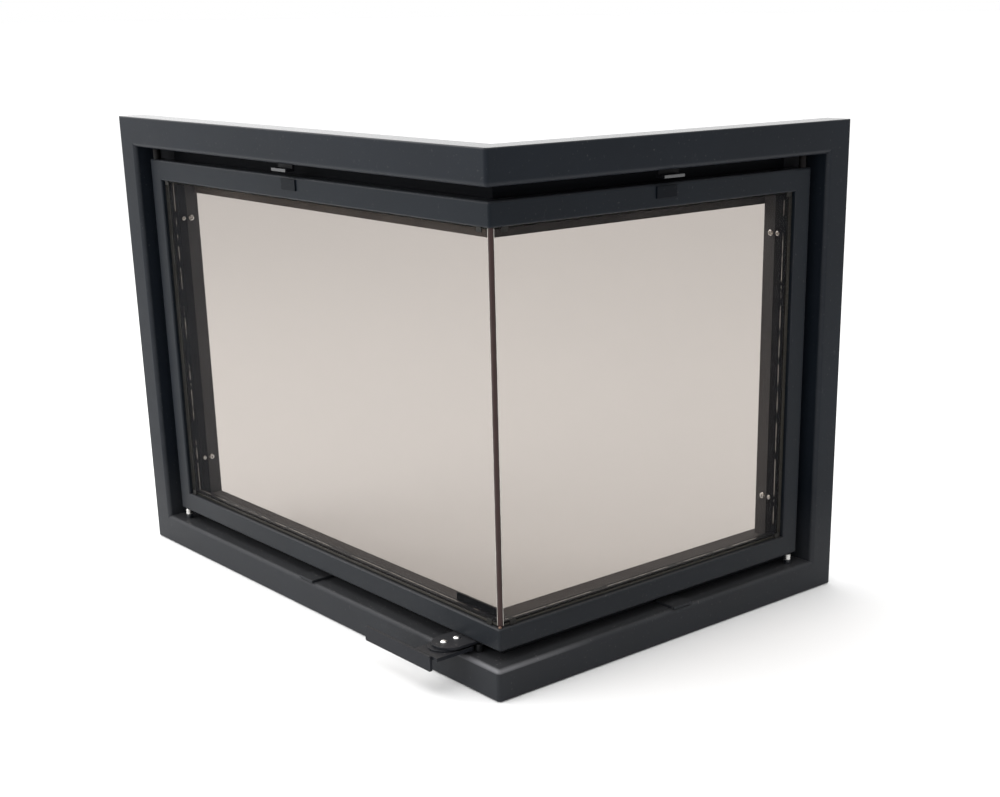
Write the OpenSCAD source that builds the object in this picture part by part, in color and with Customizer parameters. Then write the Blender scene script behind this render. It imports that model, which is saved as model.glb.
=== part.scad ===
// Fireplace glass door for a hearth that is open on two sides.
// A fixed steel casing goes round the corner of the hearth, and one L-shaped glazed leaf
// turns on two pins at the far end of the left face. A small lever under the leaf latches it.
//
// Millimetres, +Z up. The origin lies on the underside, where the centre lines of the two
// bottom casing tubes meet. The left face looks along -Y and the right face along +X.
//
// Both faces are drawn in a face frame that starts at the casing's outer corner:
// u runs along the face, v is the depth behind the casing's front, z is the height.

/* [Casing] */
// Length of the left face, over the casing
face_left = 720; // [560:10:1000]
// Length of the right face, over the casing
face_right = 510; // [420:10:800]
// Height of the casing
casing_height = 540; // [440:10:800]
// Side of the square casing tube
tube = 35; // [32:1:50]
// Wall of the casing tube
tube_wall = 2; // [1.5:0.5:3]
// Outer edge radius of the casing tube
tube_radius = 4; // [3.5:0.5:6]

/* [Leaf] */
// Width of the leaf tube, seen from the front
leaf_width = 24; // [20:1:34]
// Depth of the leaf tube, front to back
leaf_depth = 18; // [17:1:24]
// Wall of the leaf tube
leaf_wall = 2; // [1.5:0.5:2]
// Outer edge radius of the leaf tube
leaf_radius = 2.5; // [2.5:0.5:4]
// Free space between the leaf and the stop bars, filled by the seal
seal_gap = 5; // [3:0.5:8]
// Gap between the casing stiles and the leaf
side_gap = 14; // [12:1:24]
// Gap above the leaf
top_gap = 14; // [12:1:24]
// Gap below the leaf
bottom_gap = 12.5; // [12.5:0.5:20]

/* [Glass] */
// Thickness of the panes
glass = 4; // [4:1:5]
// Depth of the panes behind the leaf's front
glass_setback = 4.5; // [4:0.5:10]
// Gap round the panes inside the leaf
glass_gap = 1; // [1:0.5:3]
// Side of the silicone strip in the glass corner
corner_seal = 4.5; // [4.5:0.5:6]
// Chamfer on the outer edge of the silicone strip
corner_seal_chamfer = 1.5; // [0.5:0.5:2]
// Rope between the panes and the glazing strips
glazing_rope = 1.5; // [1:0.5:2]
// How far the glazing strips stand into the leaf opening
glazing_lip = 3; // [3:0.5:8]
// Width of a glass clip
clip_width = 8; // [6:1:12]
// Height of a glass clip's tongue
clip_height = 5.5; // [4:0.5:8]
// Sheet of the glass clips
clip_sheet = 1; // [0.8:0.1:1.5]

/* [Surround behind the leaf] */
// Thickness of the stop bars
stop_depth = 10; // [6:1:14]
// Lap of the stop bars on the back of the casing tubes
stop_lap = 19; // [12:1:28]
// How far the jambs lie outside the leaf's clear opening
jamb_reveal = 5; // [3:1:10]
// How far the sill lies below the leaf's clear opening
sill_reveal = 7; // [3:1:10]
// How far the soffit lies above the leaf's clear opening
soffit_reveal = 3; // [3:1:10]
// Thickness of the jamb, sill and soffit plates
liner = 4; // [3:1:6]
// Depth of those plates behind the stop bars
liner_depth = 16; // [14:1:40]
// How much deeper the right face's sill and soffit are
liner_step = 10; // [4:1:16]
// How far those two run on behind the right jamb
liner_wing = 20; // [4:1:24]
// Thickness of the air deflector
deflector = 3; // [2:0.5:4]
// Drop of the air deflector below the soffit
deflector_drop = 21.5; // [10:0.5:40]

/* [Pins and guides] */
// Diameter of the hinge pins and rest studs
pin_d = 8; // [6:0.5:8]
// Diameter of the hinge pins' upper end, inside the leaf
spigot_d = 6; // [4:0.5:6]
// Length of that end
spigot_length = 18; // [10:1:18]
// Distance of the pins from the leaf's outer edge
pin_inset = 11; // [8:0.5:12]
// Distance of the pins behind the leaf's front
pin_setback = 4; // [4:0.5:6]
// Running clearance round a turning pin, on the radius
running_clearance = 0.08; // [0.05:0.01:0.1]
// Clearance round a pin or screw that is held fast, on the radius
fixed_clearance = 0.05; // [0.02:0.01:0.1]
// End clearance between the pins and the leaf
end_clearance = 0.3; // [0.2:0.1:1]
// Width of the guide tabs
tab_width = 28; // [20:1:40]
// Sheet of the guide tabs
tab_sheet = 3; // [2:0.5:3]
// Depth of the top guide tabs, from the casing's front
tab_top_depth = 12; // [10:1:20]
// Drop of the top guide tabs below the casing
tab_top_drop = 8; // [6:0.5:10]
// Depth of the bottom guide tabs, from the casing's front
tab_bottom_depth = 30; // [20:1:32]
// Distance of the left tabs from the corner
tab_left = 355; // [250:1:380]
// Distance of the right top tab from the corner
tab_right_top = 239; // [150:1:260]
// Distance of the right bottom tab from the corner
tab_right_bottom = 260; // [150:1:280]
// Thickness of the wear plates on the leaf, under the top tabs
wear_sheet = 1.5; // [1:0.5:2]
// Height of the wear plates
wear_height = 12; // [8:1:16]

/* [Jamb screws] */
// Height of the lower screws above the sill
screw_low = 48.5; // [20:0.5:80]
// Distance of the upper screws below the soffit
screw_high = 51; // [20:0.5:80]
// Depth of the through bolts behind the stop bars
bolt_setback = 5; // [5:0.5:10]
// Shank of the through bolts
bolt_d = 5; // [4:0.5:5]
// Head of the through bolts
bolt_head_d = 8; // [8:0.5:10]
// Shank of the screws in the stop bars
screw_d = 4; // [3:0.5:4]
// Head of the screws in the stop bars
screw_head_d = 6; // [5:0.5:7]
// Length of both shanks
shank_length = 10; // [9:1:14]

/* [Latch] */
// Width of the latch bracket and of the handle arm
latch_width = 38; // [34:1:44]
// Distance of the latch bracket from the corner
latch_from_corner = 52; // [50:1:80]
// Sheet of the latch bracket
bracket_sheet = 3; // [2:0.5:3]
// How far the bracket stands out in front of the casing
bracket_reach = 25; // [22:1:30]
// Distance of the pivot from the bracket's corner side
pivot_inset = 21; // [18:1:24]
// How far the pivot stands out in front of the casing
pivot_reach = 12; // [10:0.5:14]
// Distance from the pivot to the stop rivet
stop_radius = 16.5; // [15:0.5:18]
// Diameter of both rivets
rivet_d = 5; // [4:0.5:5]
// Diameter of the rivet heads
rivet_head_d = 8; // [7:0.5:9]
// Height of the rivet heads
rivet_head = 2.2; // [1.5:0.1:3]
// Radius of the friction washer
washer_radius = 17; // [14:0.5:18]
// Distance from the pivot to the washer's flat
washer_flat = 10; // [8:0.5:11]
// Thickness of the friction washer
washer_sheet = 1.8; // [1:0.1:2]
// Axial play between the turning lever and the bracket
latch_play = 0.1; // [0.05:0.05:0.3]
// Thickness of the handle arm
arm_sheet = 4; // [3:0.5:4]
// How far the arm stands out in front of the casing
arm_reach = 37; // [32:1:45]
// How far the arm reaches behind the casing's front
arm_back = 11; // [10:0.5:11]
// Corner radius of the arm
arm_radius = 3; // [1:0.5:5]
// Length of the grip plate
grip_length = 115; // [80:1:150]
// Height of the grip plate
grip_height = 16.6; // [12:0.2:24]
// Thickness of the grip plate
grip_sheet = 3; // [2:0.5:4]
// Corner radius of the grip plate
grip_radius = 2; // [1:0.5:4]
// Distance of the grip plate's end from the bracket's corner side
grip_inset = 8; // [0:1:8]
// Turn of the handle outwards, in degrees
handle_out = 25; // [10:1:25]
// Turn of the handle inwards, in degrees
handle_in = 15; // [10:1:15]
// Diameter of the keeper stud
keeper_d = 8; // [6:0.5:8]
// Distance of the keeper stud from the corner
keeper_from_corner = 53; // [53:0.5:60]
// Depth of the keeper stud behind the casing's front
keeper_depth = 17.5; // [17.5:0.5:20]
// Width of the latch tail
tail_width = 14; // [10:1:14]
// Side clearance between the hook and the keeper stud, with the latch released
hook_side_clearance = 1; // [1:0.25:2]
// Clearance between the hook and the keeper stud, front to back
hook_clearance = 5; // [5:0.5:6]
// Thickness of the hook finger, front to back
hook_finger = 5; // [4:0.5:5]

/* [Hidden] */
$fn = 48;
// Overshoot of every cut past the face it opens
past = 1;

// Leaf outline in the face frame
leaf_front = tube - seal_gap - leaf_depth;
leaf_back = tube - seal_gap;
leaf_end = tube + side_gap;
leaf_bottom = tube + bottom_gap;
leaf_top = casing_height - tube - top_gap;
clear_end = leaf_end + leaf_width;
clear_bottom = leaf_bottom + leaf_width;
clear_top = leaf_top - leaf_width;

// Panes
glass_front = leaf_front + glass_setback;
glass_back = glass_front + glass;
seal_start = glass_back - corner_seal;
pane_start = glass_back + fixed_clearance;
strip_front = glass_back + glazing_rope;

// Surround behind the leaf
stop_back = tube + stop_depth;
liner_back = stop_back + liner_depth;
liner_back_right = liner_back + liner_step;
jamb_end = clear_end - jamb_reveal;
sill_top = clear_bottom - sill_reveal;
soffit = clear_top + soffit_reveal;
tape_width = 8;
tape_thickness = seal_gap - end_clearance;
tape_edge = 3;

// Pins
pin_end = leaf_end + pin_inset;
pin_depth = leaf_front + pin_setback;
pin_seat = tube - tube_wall;

// Corner plate on the back of the leaf
corner_plate_sheet = 2;
corner_plate_length = 72;
corner_plate_height = 22;
corner_plate_rise = 10.5;
corner_plate_inset = 3;

// Latch heights and places
bracket_bottom = leaf_bottom - bracket_sheet;
washer_top = bracket_bottom - latch_play;
arm_top = washer_top - washer_sheet;
arm_bottom = arm_top - arm_sheet;
latch_far = latch_from_corner + latch_width;
pivot_u = latch_from_corner + pivot_inset;
pivot_v = -pivot_reach;
grip_start = latch_from_corner + grip_inset;
slot_clearance = 0.3;
rivet_tail = 0.8;
tail_start = keeper_from_corner + keeper_d / 2 + 9;
finger_start = keeper_from_corner + keeper_d / 2 + hook_side_clearance;
finger_front = keeper_depth + keeper_d / 2 + hook_clearance;
tail_back = finger_front + hook_finger;
keeper_top = arm_top + 1;

// ---------------------------------------------------------------- frames and helpers

// Carries the left face frame into the part's frame
module on_left() {
    translate([tube / 2, -tube / 2, 0]) mirror([1, 0, 0]) children();
}

// Carries the right face frame into the part's frame
module on_right() {
    translate([tube / 2, -tube / 2, 0]) rotate([0, 0, 90]) children();
}

// Turns a piece of the bottom into its partner at the top
module upside_down() {
    translate([0, 0, casing_height]) mirror([0, 0, 1]) children();
}

// A box between two corners
module block(u, v, z) {
    translate([u[0], v[0], z[0]]) cube([u[1] - u[0], v[1] - v[0], z[1] - z[0]]);
}

// Runs an outline drawn in (v, z) along the face
module along_u(u) {
    translate([u[0], 0, 0]) rotate([90, 0, 90]) linear_extrude(u[1] - u[0]) children();
}

// Runs an outline drawn in (u, z) through the depths v
module through_v(v) {
    translate([0, v[1], 0]) rotate([90, 0, 0]) linear_extrude(v[1] - v[0]) children();
}

// Everything past the corner mitre, to be cut away
module past_corner() {
    reach = liner_back + past;
    translate([0, 0, -past])
        linear_extrude(casing_height + 2 * past)
            polygon([[-past, -past], [reach, reach], [-past, reach]]);
}

// Everything past the corner line of the right face's surround, which butts against the left one
module past_liner_corner() {
    reach = liner_back_right + past;
    translate([0, 0, -past])
        linear_extrude(casing_height + 2 * past)
            polygon([[-past, -past], [liner_back, liner_back], [liner_back, reach], [-past, reach]]);
}

// Rectangle with round corners, its corner at the origin
module rounded_rectangle(w, d, r) {
    translate([r, 0]) square([w - 2 * r, d]);
    translate([0, r]) square([w, d - 2 * r]);
    for (x = [r, w - r], y = [r, d - r]) translate([x, y]) circle(r);
}

// Section of a rectangular tube
module tube_section(w, d, r, wall) {
    difference() {
        rounded_rectangle(w, d, r);
        translate([wall, wall]) rounded_rectangle(w - 2 * wall, d - 2 * wall, r - wall);
    }
}

// Upright pin or bore at (u, v) between two heights
module upright(u, v, z, d) {
    translate([u, v, z[0]]) cylinder(d = d, h = z[1] - z[0]);
}

// Pin or bore along the face at (v, z)
module lengthwise(u, v, z, d) {
    translate([u[0], v, z]) rotate([0, 90, 0]) cylinder(d = d, h = u[1] - u[0]);
}

// Low domed head of a rivet or screw, standing on z = 0
module domed_head(d, h) {
    cylinder(d = d, h = h * 0.4);
    translate([0, 0, h * 0.4]) cylinder(d1 = d, d2 = d * 0.55, h = h * 0.6);
}

// ---------------------------------------------------------------- casing

// Bottom rail of one face, mitred to its neighbours
module casing_rail(face) {
    difference() {
        along_u([0, face]) tube_section(tube, tube, tube_radius, tube_wall);
        past_corner();
        through_v([-past, tube + past])
            polygon([[face + past, -past], [face + past, tube + past], [face - tube - past, tube + past]]);
        upright(face - pin_end, pin_depth, [pin_seat - past, tube + past], pin_d + 2 * fixed_clearance);
    }
}

module casing_stile(face) {
    difference() {
        translate([face - tube, 0, 0])
            linear_extrude(casing_height) tube_section(tube, tube, tube_radius, tube_wall);
        mitre_wedge(face);
        upside_down() mitre_wedge(face);
    }
}

// The part of a stile's foot that belongs to the rail
module mitre_wedge(face) {
    through_v([-past, tube + past])
        polygon([[face - tube - past, -past], [face + past, -past], [face - tube - past, tube + past]]);
}

// Stop bar along the bottom of one face
module stop_bar(face, edge) {
    difference() {
        block([tube, face - jamb_end], [tube, stop_back], [tube - stop_lap, edge]);
        past_corner();
    }
}

module stop_bar_end(face) {
    difference() {
        block([face - jamb_end, face - tube + stop_lap], [tube, stop_back],
            [tube - stop_lap, casing_height - tube + stop_lap]);
        for (z = screw_heights())
            lengthwise([face - jamb_end - past, face - jamb_end + shank_length + end_clearance],
                stop_back - stop_depth / 2, z, screw_d + 2 * fixed_clearance);
    }
}

function screw_heights() = [sill_top + screw_low, soffit - screw_high];

module jamb_plate(face) {
    difference() {
        block([face - jamb_end, face - jamb_end + liner], [stop_back, liner_back],
            [sill_top - liner, soffit + liner]);
        for (z = screw_heights())
            lengthwise([face - jamb_end - past, face - jamb_end + liner + past],
                stop_back + bolt_setback, z, bolt_d + 2 * fixed_clearance);
    }
}

// Sill or soffit plate of the left face, between two heights
module liner_plate_left(z) {
    difference() {
        block([stop_back, face_left - jamb_end], [stop_back, liner_back], z);
        past_corner();
    }
}

// Sill or soffit plate of the right face, between two heights
module liner_plate_right(z) {
    inner = face_right - jamb_end;
    difference() {
        union() {
            block([stop_back, inner], [stop_back, liner_back_right], z);
            block([inner - past, inner + liner_wing], [liner_back, liner_back_right], z);
        }
        past_liner_corner();
    }
}

// Deflector over a stretch of the face, with its back at a depth
module air_deflector(u, back) {
    block(u, [back - deflector, back], [soffit - deflector_drop, soffit]);
}

module guide_tab_top(u) {
    sides = [u - tab_width / 2, u + tab_width / 2];
    under = casing_height - tube;
    block(sides, [0, tab_top_depth], [under - tab_top_drop, under - tab_top_drop + tab_sheet]);
    block(sides, [tab_top_depth - tab_sheet, tab_top_depth], [under - tab_top_drop, under]);
}

module guide_tab_bottom(u) {
    block([u - tab_width / 2, u + tab_width / 2], [0, tab_bottom_depth], [tube, tube + tab_sheet]);
}

// Pin welded into the rail, reaching up to the leaf
module rest_stud(face, gap) {
    upright(face - pin_end, pin_depth, [pin_seat, tube + gap - end_clearance], pin_d);
}

module hinge_pin(face, gap) {
    rest_stud(face, gap);
    upright(face - pin_end, pin_depth, [tube, tube + gap + spigot_length], spigot_d);
}

// The same piece at every jamb screw: both ends of the hearth, low and high
module at_jamb_screws(v) {
    for (z = screw_heights()) {
        on_left() translate([face_left - jamb_end, v, z]) rotate([0, 90, 0]) children();
        on_right() translate([face_right - jamb_end, v, z]) rotate([0, 90, 0]) children();
    }
}

module screw_piece(d, head_d, length) {
    cylinder(d = d, h = length);
    mirror([0, 0, 1]) domed_head(head_d, head_d * 0.3);
}

// ---------------------------------------------------------------- leaf

// Leaf rail of one face, whose lower edge lies at z
module leaf_rail(face, z) {
    difference() {
        along_u([leaf_front, face - clear_end])
            translate([leaf_front, z]) tube_section(leaf_depth, leaf_width, leaf_radius, leaf_wall);
        past_corner();
    }
}

module leaf_stile(face) {
    translate([face - clear_end, leaf_front, clear_bottom])
        linear_extrude(clear_top - clear_bottom)
            tube_section(leaf_width, leaf_depth, leaf_radius, leaf_wall);
}

// Solid lower corner of the leaf: round on its outer edges, flat towards the tubes
module leaf_block(face) {
    intersection() {
        along_u([face - clear_end, face - leaf_end])
            translate([leaf_front, leaf_bottom])
                rounded_rectangle(leaf_depth, leaf_width + 2 * leaf_radius, leaf_radius);
        translate([face - clear_end - 2 * leaf_radius, leaf_front, leaf_bottom])
            linear_extrude(leaf_width)
                rounded_rectangle(leaf_width + 2 * leaf_radius, leaf_depth, leaf_radius);
    }
}

// Corner block with the bore that turns on a hinge pin
module leaf_hinge_block(face) {
    difference() {
        leaf_block(face);
        upright(face - pin_end, pin_depth, [leaf_bottom - past, leaf_bottom + spigot_length + end_clearance],
            spigot_d + 2 * running_clearance);
    }
}

// Raises a corner block from the bottom of the leaf to its top
module at_leaf_top() {
    translate([0, 0, leaf_bottom + leaf_top]) mirror([0, 0, 1]) children();
}

module pane(face) {
    block([pane_start, face - clear_end - glass_gap], [glass_front, glass_back],
        [clear_bottom + glass_gap, clear_top - glass_gap]);
}

// Strips round three sides of a pane, between two depths
module pane_border(face, v) {
    inner = face - clear_end - glazing_lip;
    difference() {
        block([v[0], face - clear_end], v, [clear_bottom, clear_bottom + glazing_lip]);
        past_corner();
    }
    difference() {
        block([v[0], face - clear_end], v, [clear_top - glazing_lip, clear_top]);
        past_corner();
    }
    block([inner, face - clear_end], v, [clear_bottom + glazing_lip, clear_top - glazing_lip]);
}

// Seal on the back of the leaf, from the hinge line to the corner
module seal_tape(face, stile_u) {
    v = [leaf_back, leaf_back + tape_thickness];
    low = [leaf_bottom + tape_edge, leaf_bottom + tape_edge + tape_width];
    high = [leaf_top - tape_edge - tape_width, leaf_top - tape_edge];
    difference() {
        union() {
            block([v[0], stile_u[1]], v, low);
            block([v[0], stile_u[1]], v, high);
            block(stile_u, v, [low[1], high[0]]);
        }
        past_corner();
    }
}

// Clip on the lower rail at u, in front of the glass
module glass_clip(u) {
    block([u, u + clip_width], [leaf_front + leaf_radius, glass_front], [clear_bottom, clear_bottom + clip_sheet]);
    block([u, u + clip_width], [glass_front - clip_sheet, glass_front], [clear_bottom, clear_bottom + clip_height]);
}

module wear_plate(u) {
    block([u - tab_width / 2, u + tab_width / 2], [leaf_front - wear_sheet, leaf_front],
        [leaf_top - leaf_radius - wear_height, leaf_top - leaf_radius]);
}

// ---------------------------------------------------------------- latch

// Outline of the latch bracket: a half round nose in front of the leaf
module bracket_outline() {
    nose = latch_width / 2;
    translate([latch_from_corner, nose - bracket_reach])
        square([latch_width, leaf_back - nose + bracket_reach]);
    translate([latch_from_corner + nose, nose - bracket_reach]) circle(nose);
}

// Arc slot in the handle arm, round the pivot, in which the stop rivet travels
module arc_slot() {
    half = rivet_d / 2 + slot_clearance;
    from = 90 - handle_in;
    to = 90 + handle_out;
    reach = 2 * stop_radius;
    translate([pivot_u, pivot_v]) {
        intersection() {
            difference() {
                circle(stop_radius + half);
                circle(stop_radius - half);
            }
            polygon([[0, 0], reach * [cos(from), sin(from)], reach * [cos(90), sin(90)],
                reach * [cos(to), sin(to)]]);
        }
        for (a = [from, to]) translate(stop_radius * [cos(a), sin(a)]) circle(half);
    }
}

// Outline of the handle arm with its tail and hook
module arm_outline() {
    difference() {
        union() {
            translate([latch_from_corner, -arm_reach])
                rounded_rectangle(latch_width, arm_reach + arm_back, arm_radius);
            translate([latch_from_corner, -arm_reach]) square([latch_width, 2 * arm_radius]);
            translate([tail_start, 0]) square([tail_width, tail_back]);
            translate([finger_start, finger_front])
                square([tail_start + past - finger_start, hook_finger]);
        }
        translate([pivot_u, pivot_v]) circle(d = rivet_d + 2 * fixed_clearance);
        arc_slot();
    }
}

// ---------------------------------------------------------------- casing pieces

module casing_bottom_rail_left() {
    color("#2f3032") on_left() difference() {
        casing_rail(face_left);
        upright(keeper_from_corner, keeper_depth, [pin_seat - past, tube + past],
            keeper_d + 2 * fixed_clearance);
    }
}
module casing_bottom_rail_right() { color("#2f3032") on_right() casing_rail(face_right); }
module casing_top_rail_left() { color("#2f3032") on_left() upside_down() casing_rail(face_left); }
module casing_top_rail_right() { color("#2f3032") on_right() upside_down() casing_rail(face_right); }
module casing_stile_left() { color("#2f3032") on_left() casing_stile(face_left); }
module casing_stile_right() { color("#2f3032") on_right() casing_stile(face_right); }

module stop_bar_bottom_left() { color("#232425") on_left() stop_bar(face_left, sill_top); }
module stop_bar_bottom_right() { color("#232425") on_right() stop_bar(face_right, sill_top); }
module stop_bar_top_left() {
    color("#232425") on_left() upside_down() stop_bar(face_left, casing_height - soffit);
}
module stop_bar_top_right() {
    color("#232425") on_right() upside_down() stop_bar(face_right, casing_height - soffit);
}
module stop_bar_end_left() { color("#232425") on_left() stop_bar_end(face_left); }
module stop_bar_end_right() { color("#232425") on_right() stop_bar_end(face_right); }

module jamb_plate_left() { color("#4a4b4d") on_left() jamb_plate(face_left); }
module jamb_plate_right() { color("#4a4b4d") on_right() jamb_plate(face_right); }
module sill_plate_left() {
    color("#4a4b4d") on_left() liner_plate_left([sill_top - liner, sill_top]);
}
module sill_plate_right() {
    color("#4a4b4d") on_right() liner_plate_right([sill_top - liner, sill_top]);
}
module soffit_plate_left() {
    color("#4a4b4d") on_left() liner_plate_left([soffit, soffit + liner]);
}
module soffit_plate_right() {
    color("#4a4b4d") on_right() liner_plate_right([soffit, soffit + liner]);
}
module air_deflector_left() {
    color("#4a4b4d") on_left() air_deflector([liner_back_right - deflector, face_left - jamb_end], liner_back);
}
module air_deflector_right() {
    color("#4a4b4d") on_right()
        air_deflector([liner_back, face_right - jamb_end + liner_wing], liner_back_right);
}

module guide_tab_top_left() { color("#5a5b5d") on_left() guide_tab_top(tab_left); }
module guide_tab_top_right() { color("#5a5b5d") on_right() guide_tab_top(tab_right_top); }
module guide_tab_bottom_left() { color("#5a5b5d") on_left() guide_tab_bottom(tab_left); }
module guide_tab_bottom_right() { color("#5a5b5d") on_right() guide_tab_bottom(tab_right_bottom); }

module hinge_pin_lower() { color("#c9cbcd") on_left() hinge_pin(face_left, bottom_gap); }
module hinge_pin_upper() { color("#c9cbcd") on_left() upside_down() hinge_pin(face_left, top_gap); }
module rest_stud_lower() { color("#c9cbcd") on_right() rest_stud(face_right, bottom_gap); }
module rest_stud_upper() { color("#c9cbcd") on_right() upside_down() rest_stud(face_right, top_gap); }
module latch_keeper_stud() {
    color("#c9cbcd") on_left() upright(keeper_from_corner, keeper_depth, [pin_seat, keeper_top], keeper_d);
}

module jamb_bolts() {
    color("#c9cbcd") at_jamb_screws(stop_back + bolt_setback)
        screw_piece(bolt_d, bolt_head_d, shank_length);
}
module jamb_nuts() {
    color("#9a9c9f") at_jamb_screws(stop_back + bolt_setback) translate([0, 0, liner]) difference() {
        cylinder(d = 9, h = 4, $fn = 6);
        translate([0, 0, -past]) cylinder(d = bolt_d + 2 * fixed_clearance, h = 4 + 2 * past);
    }
}
module stop_screws() {
    color("#8d8f92") at_jamb_screws(stop_back - stop_depth / 2)
        screw_piece(screw_d, screw_head_d, shank_length);
}

// ---------------------------------------------------------------- leaf pieces

module leaf_bottom_rail_left() { color("#343537") on_left() leaf_rail(face_left, leaf_bottom); }
module leaf_bottom_rail_right() { color("#343537") on_right() leaf_rail(face_right, leaf_bottom); }
module leaf_top_rail_left() { color("#343537") on_left() leaf_rail(face_left, clear_top); }
module leaf_top_rail_right() { color("#343537") on_right() leaf_rail(face_right, clear_top); }
module leaf_stile_left() { color("#343537") on_left() leaf_stile(face_left); }
module leaf_stile_right() { color("#343537") on_right() leaf_stile(face_right); }
module hinge_block_lower() { color("#343537") on_left() leaf_hinge_block(face_left); }
module hinge_block_upper() { color("#343537") on_left() at_leaf_top() leaf_hinge_block(face_left); }
module rest_block_lower() { color("#343537") on_right() leaf_block(face_right); }
module rest_block_upper() { color("#343537") on_right() at_leaf_top() leaf_block(face_right); }

module glass_left() { color("#9fb4b455") on_left() pane(face_left); }
module glass_right() { color("#9fb4b455") on_right() pane(face_right); }
module glass_corner_seal() {
    inner = seal_start;
    color("#8a6457") on_left() translate([0, 0, clear_bottom]) linear_extrude(clear_top - clear_bottom)
        polygon([[inner + corner_seal_chamfer, inner], [glass_back, inner], [glass_back, glass_back],
            [inner, glass_back], [inner, inner + corner_seal_chamfer]]);
}
module glazing_strips_left() { color("#343537") on_left() pane_border(face_left, [strip_front, leaf_back]); }
module glazing_strips_right() { color("#343537") on_right() pane_border(face_right, [strip_front, leaf_back]); }
module glazing_rope_left() { color("#55504a") on_left() pane_border(face_left, [glass_back, strip_front]); }
module glazing_rope_right() { color("#55504a") on_right() pane_border(face_right, [glass_back, strip_front]); }
module leaf_seal_tape() {
    color("#3b3733") {
        on_left() seal_tape(face_left, [face_left - jamb_end + past, face_left - pin_end - past]);
        on_right() seal_tape(face_right, [face_right - jamb_end + past, face_right - pin_end - past]);
    }
}
module glass_clips() {
    far = clear_end + glazing_lip + clip_width;
    near = pane_start + clip_width;
    color("#c9cbcd") {
        on_left() for (u = [near, face_left - far]) {
            glass_clip(u);
            at_leaf_top() glass_clip(u);
        }
        on_right() for (u = [near, face_right - far]) {
            glass_clip(u);
            at_leaf_top() glass_clip(u);
        }
    }
}
module corner_plate() {
    start = leaf_back + corner_plate_inset;
    foot = clear_bottom + corner_plate_rise - corner_plate_height;
    color("#343537") on_left() block([start, start + corner_plate_length],
        [leaf_back, leaf_back + corner_plate_sheet], [foot, foot + corner_plate_height]);
}
module wear_plates() {
    color("#232425") {
        on_left() wear_plate(tab_left);
        on_right() wear_plate(tab_right_top);
    }
}

module latch_bracket() {
    color("#2f3032") on_left() translate([0, 0, bracket_bottom]) linear_extrude(bracket_sheet) difference() {
        bracket_outline();
        translate([pivot_u, pivot_v]) circle(d = rivet_d + 2 * running_clearance);
        translate([pivot_u, pivot_v + stop_radius]) circle(d = rivet_d + 2 * fixed_clearance);
    }
}
module latch_stop_rivet() {
    color("#c9cbcd") on_left() translate([pivot_u, pivot_v + stop_radius, 0]) {
        upright(0, 0, [arm_bottom - rivet_tail, leaf_bottom], rivet_d);
        translate([0, 0, leaf_bottom]) domed_head(rivet_head_d - past, rivet_head);
    }
}

// ---------------------------------------------------------------- handle pieces

module handle_arm() {
    color("#2f3032") on_left() translate([0, 0, arm_bottom]) linear_extrude(arm_sheet) arm_outline();
}
module handle_grip_plate() {
    color("#2f3032") on_left() through_v([-arm_reach - grip_sheet, -arm_reach])
        translate([grip_start, arm_top - grip_height])
            rounded_rectangle(grip_length, grip_height, grip_radius);
}
module handle_pivot_rivet() {
    color("#c9cbcd") on_left() translate([pivot_u, pivot_v, 0]) {
        upright(0, 0, [arm_bottom, leaf_bottom + latch_play], rivet_d);
        translate([0, 0, leaf_bottom + latch_play]) domed_head(rivet_head_d, rivet_head);
        translate([0, 0, arm_bottom]) mirror([0, 0, 1]) domed_head(rivet_head_d, rivet_head);
    }
}
module handle_friction_washer() {
    color("#4a4b4d") on_left() translate([pivot_u, pivot_v, arm_top]) linear_extrude(washer_sheet) difference() {
        circle(washer_radius);
        translate([-washer_radius - past, washer_flat]) square([2 * washer_radius + 2 * past, washer_radius]);
        circle(d = rivet_d + 2 * fixed_clearance);
    }
}

casing_top_rail_left();
casing_top_rail_right();
casing_bottom_rail_left();
casing_bottom_rail_right();
casing_stile_left();
casing_stile_right();
stop_bar_top_left();
stop_bar_top_right();
stop_bar_bottom_left();
stop_bar_bottom_right();
stop_bar_end_left();
stop_bar_end_right();
jamb_plate_left();
jamb_plate_right();
sill_plate_left();
sill_plate_right();
soffit_plate_left();
soffit_plate_right();
air_deflector_left();
air_deflector_right();
guide_tab_top_left();
guide_tab_top_right();
guide_tab_bottom_left();
guide_tab_bottom_right();
hinge_pin_lower();
hinge_pin_upper();
rest_stud_lower();
rest_stud_upper();
latch_keeper_stud();
jamb_bolts();
jamb_nuts();
stop_screws();
leaf_top_rail_left();
leaf_top_rail_right();
leaf_bottom_rail_left();
leaf_bottom_rail_right();
leaf_stile_left();
leaf_stile_right();
hinge_block_lower();
hinge_block_upper();
rest_block_lower();
rest_block_upper();
glass_left();
glass_right();
glass_corner_seal();
glazing_strips_left();
glazing_strips_right();
glazing_rope_left();
glazing_rope_right();
leaf_seal_tape();
glass_clips();
corner_plate();
wear_plates();
latch_bracket();
latch_stop_rivet();
handle_arm();
handle_grip_plate();
handle_pivot_rivet();
handle_friction_washer();
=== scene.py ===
"""Looks of a two sided corner fireplace door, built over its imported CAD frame.

Lengths are millimetres in the face frames until they become vertices, which are in metres. A face
frame runs along its face from the outer corner, back from the casing's front, and up.
"""

import logging
import math
from collections.abc import Iterable, Sequence
from dataclasses import dataclass, replace
from enum import Enum

import bmesh
import bpy
from mathutils import Matrix, Vector

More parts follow.
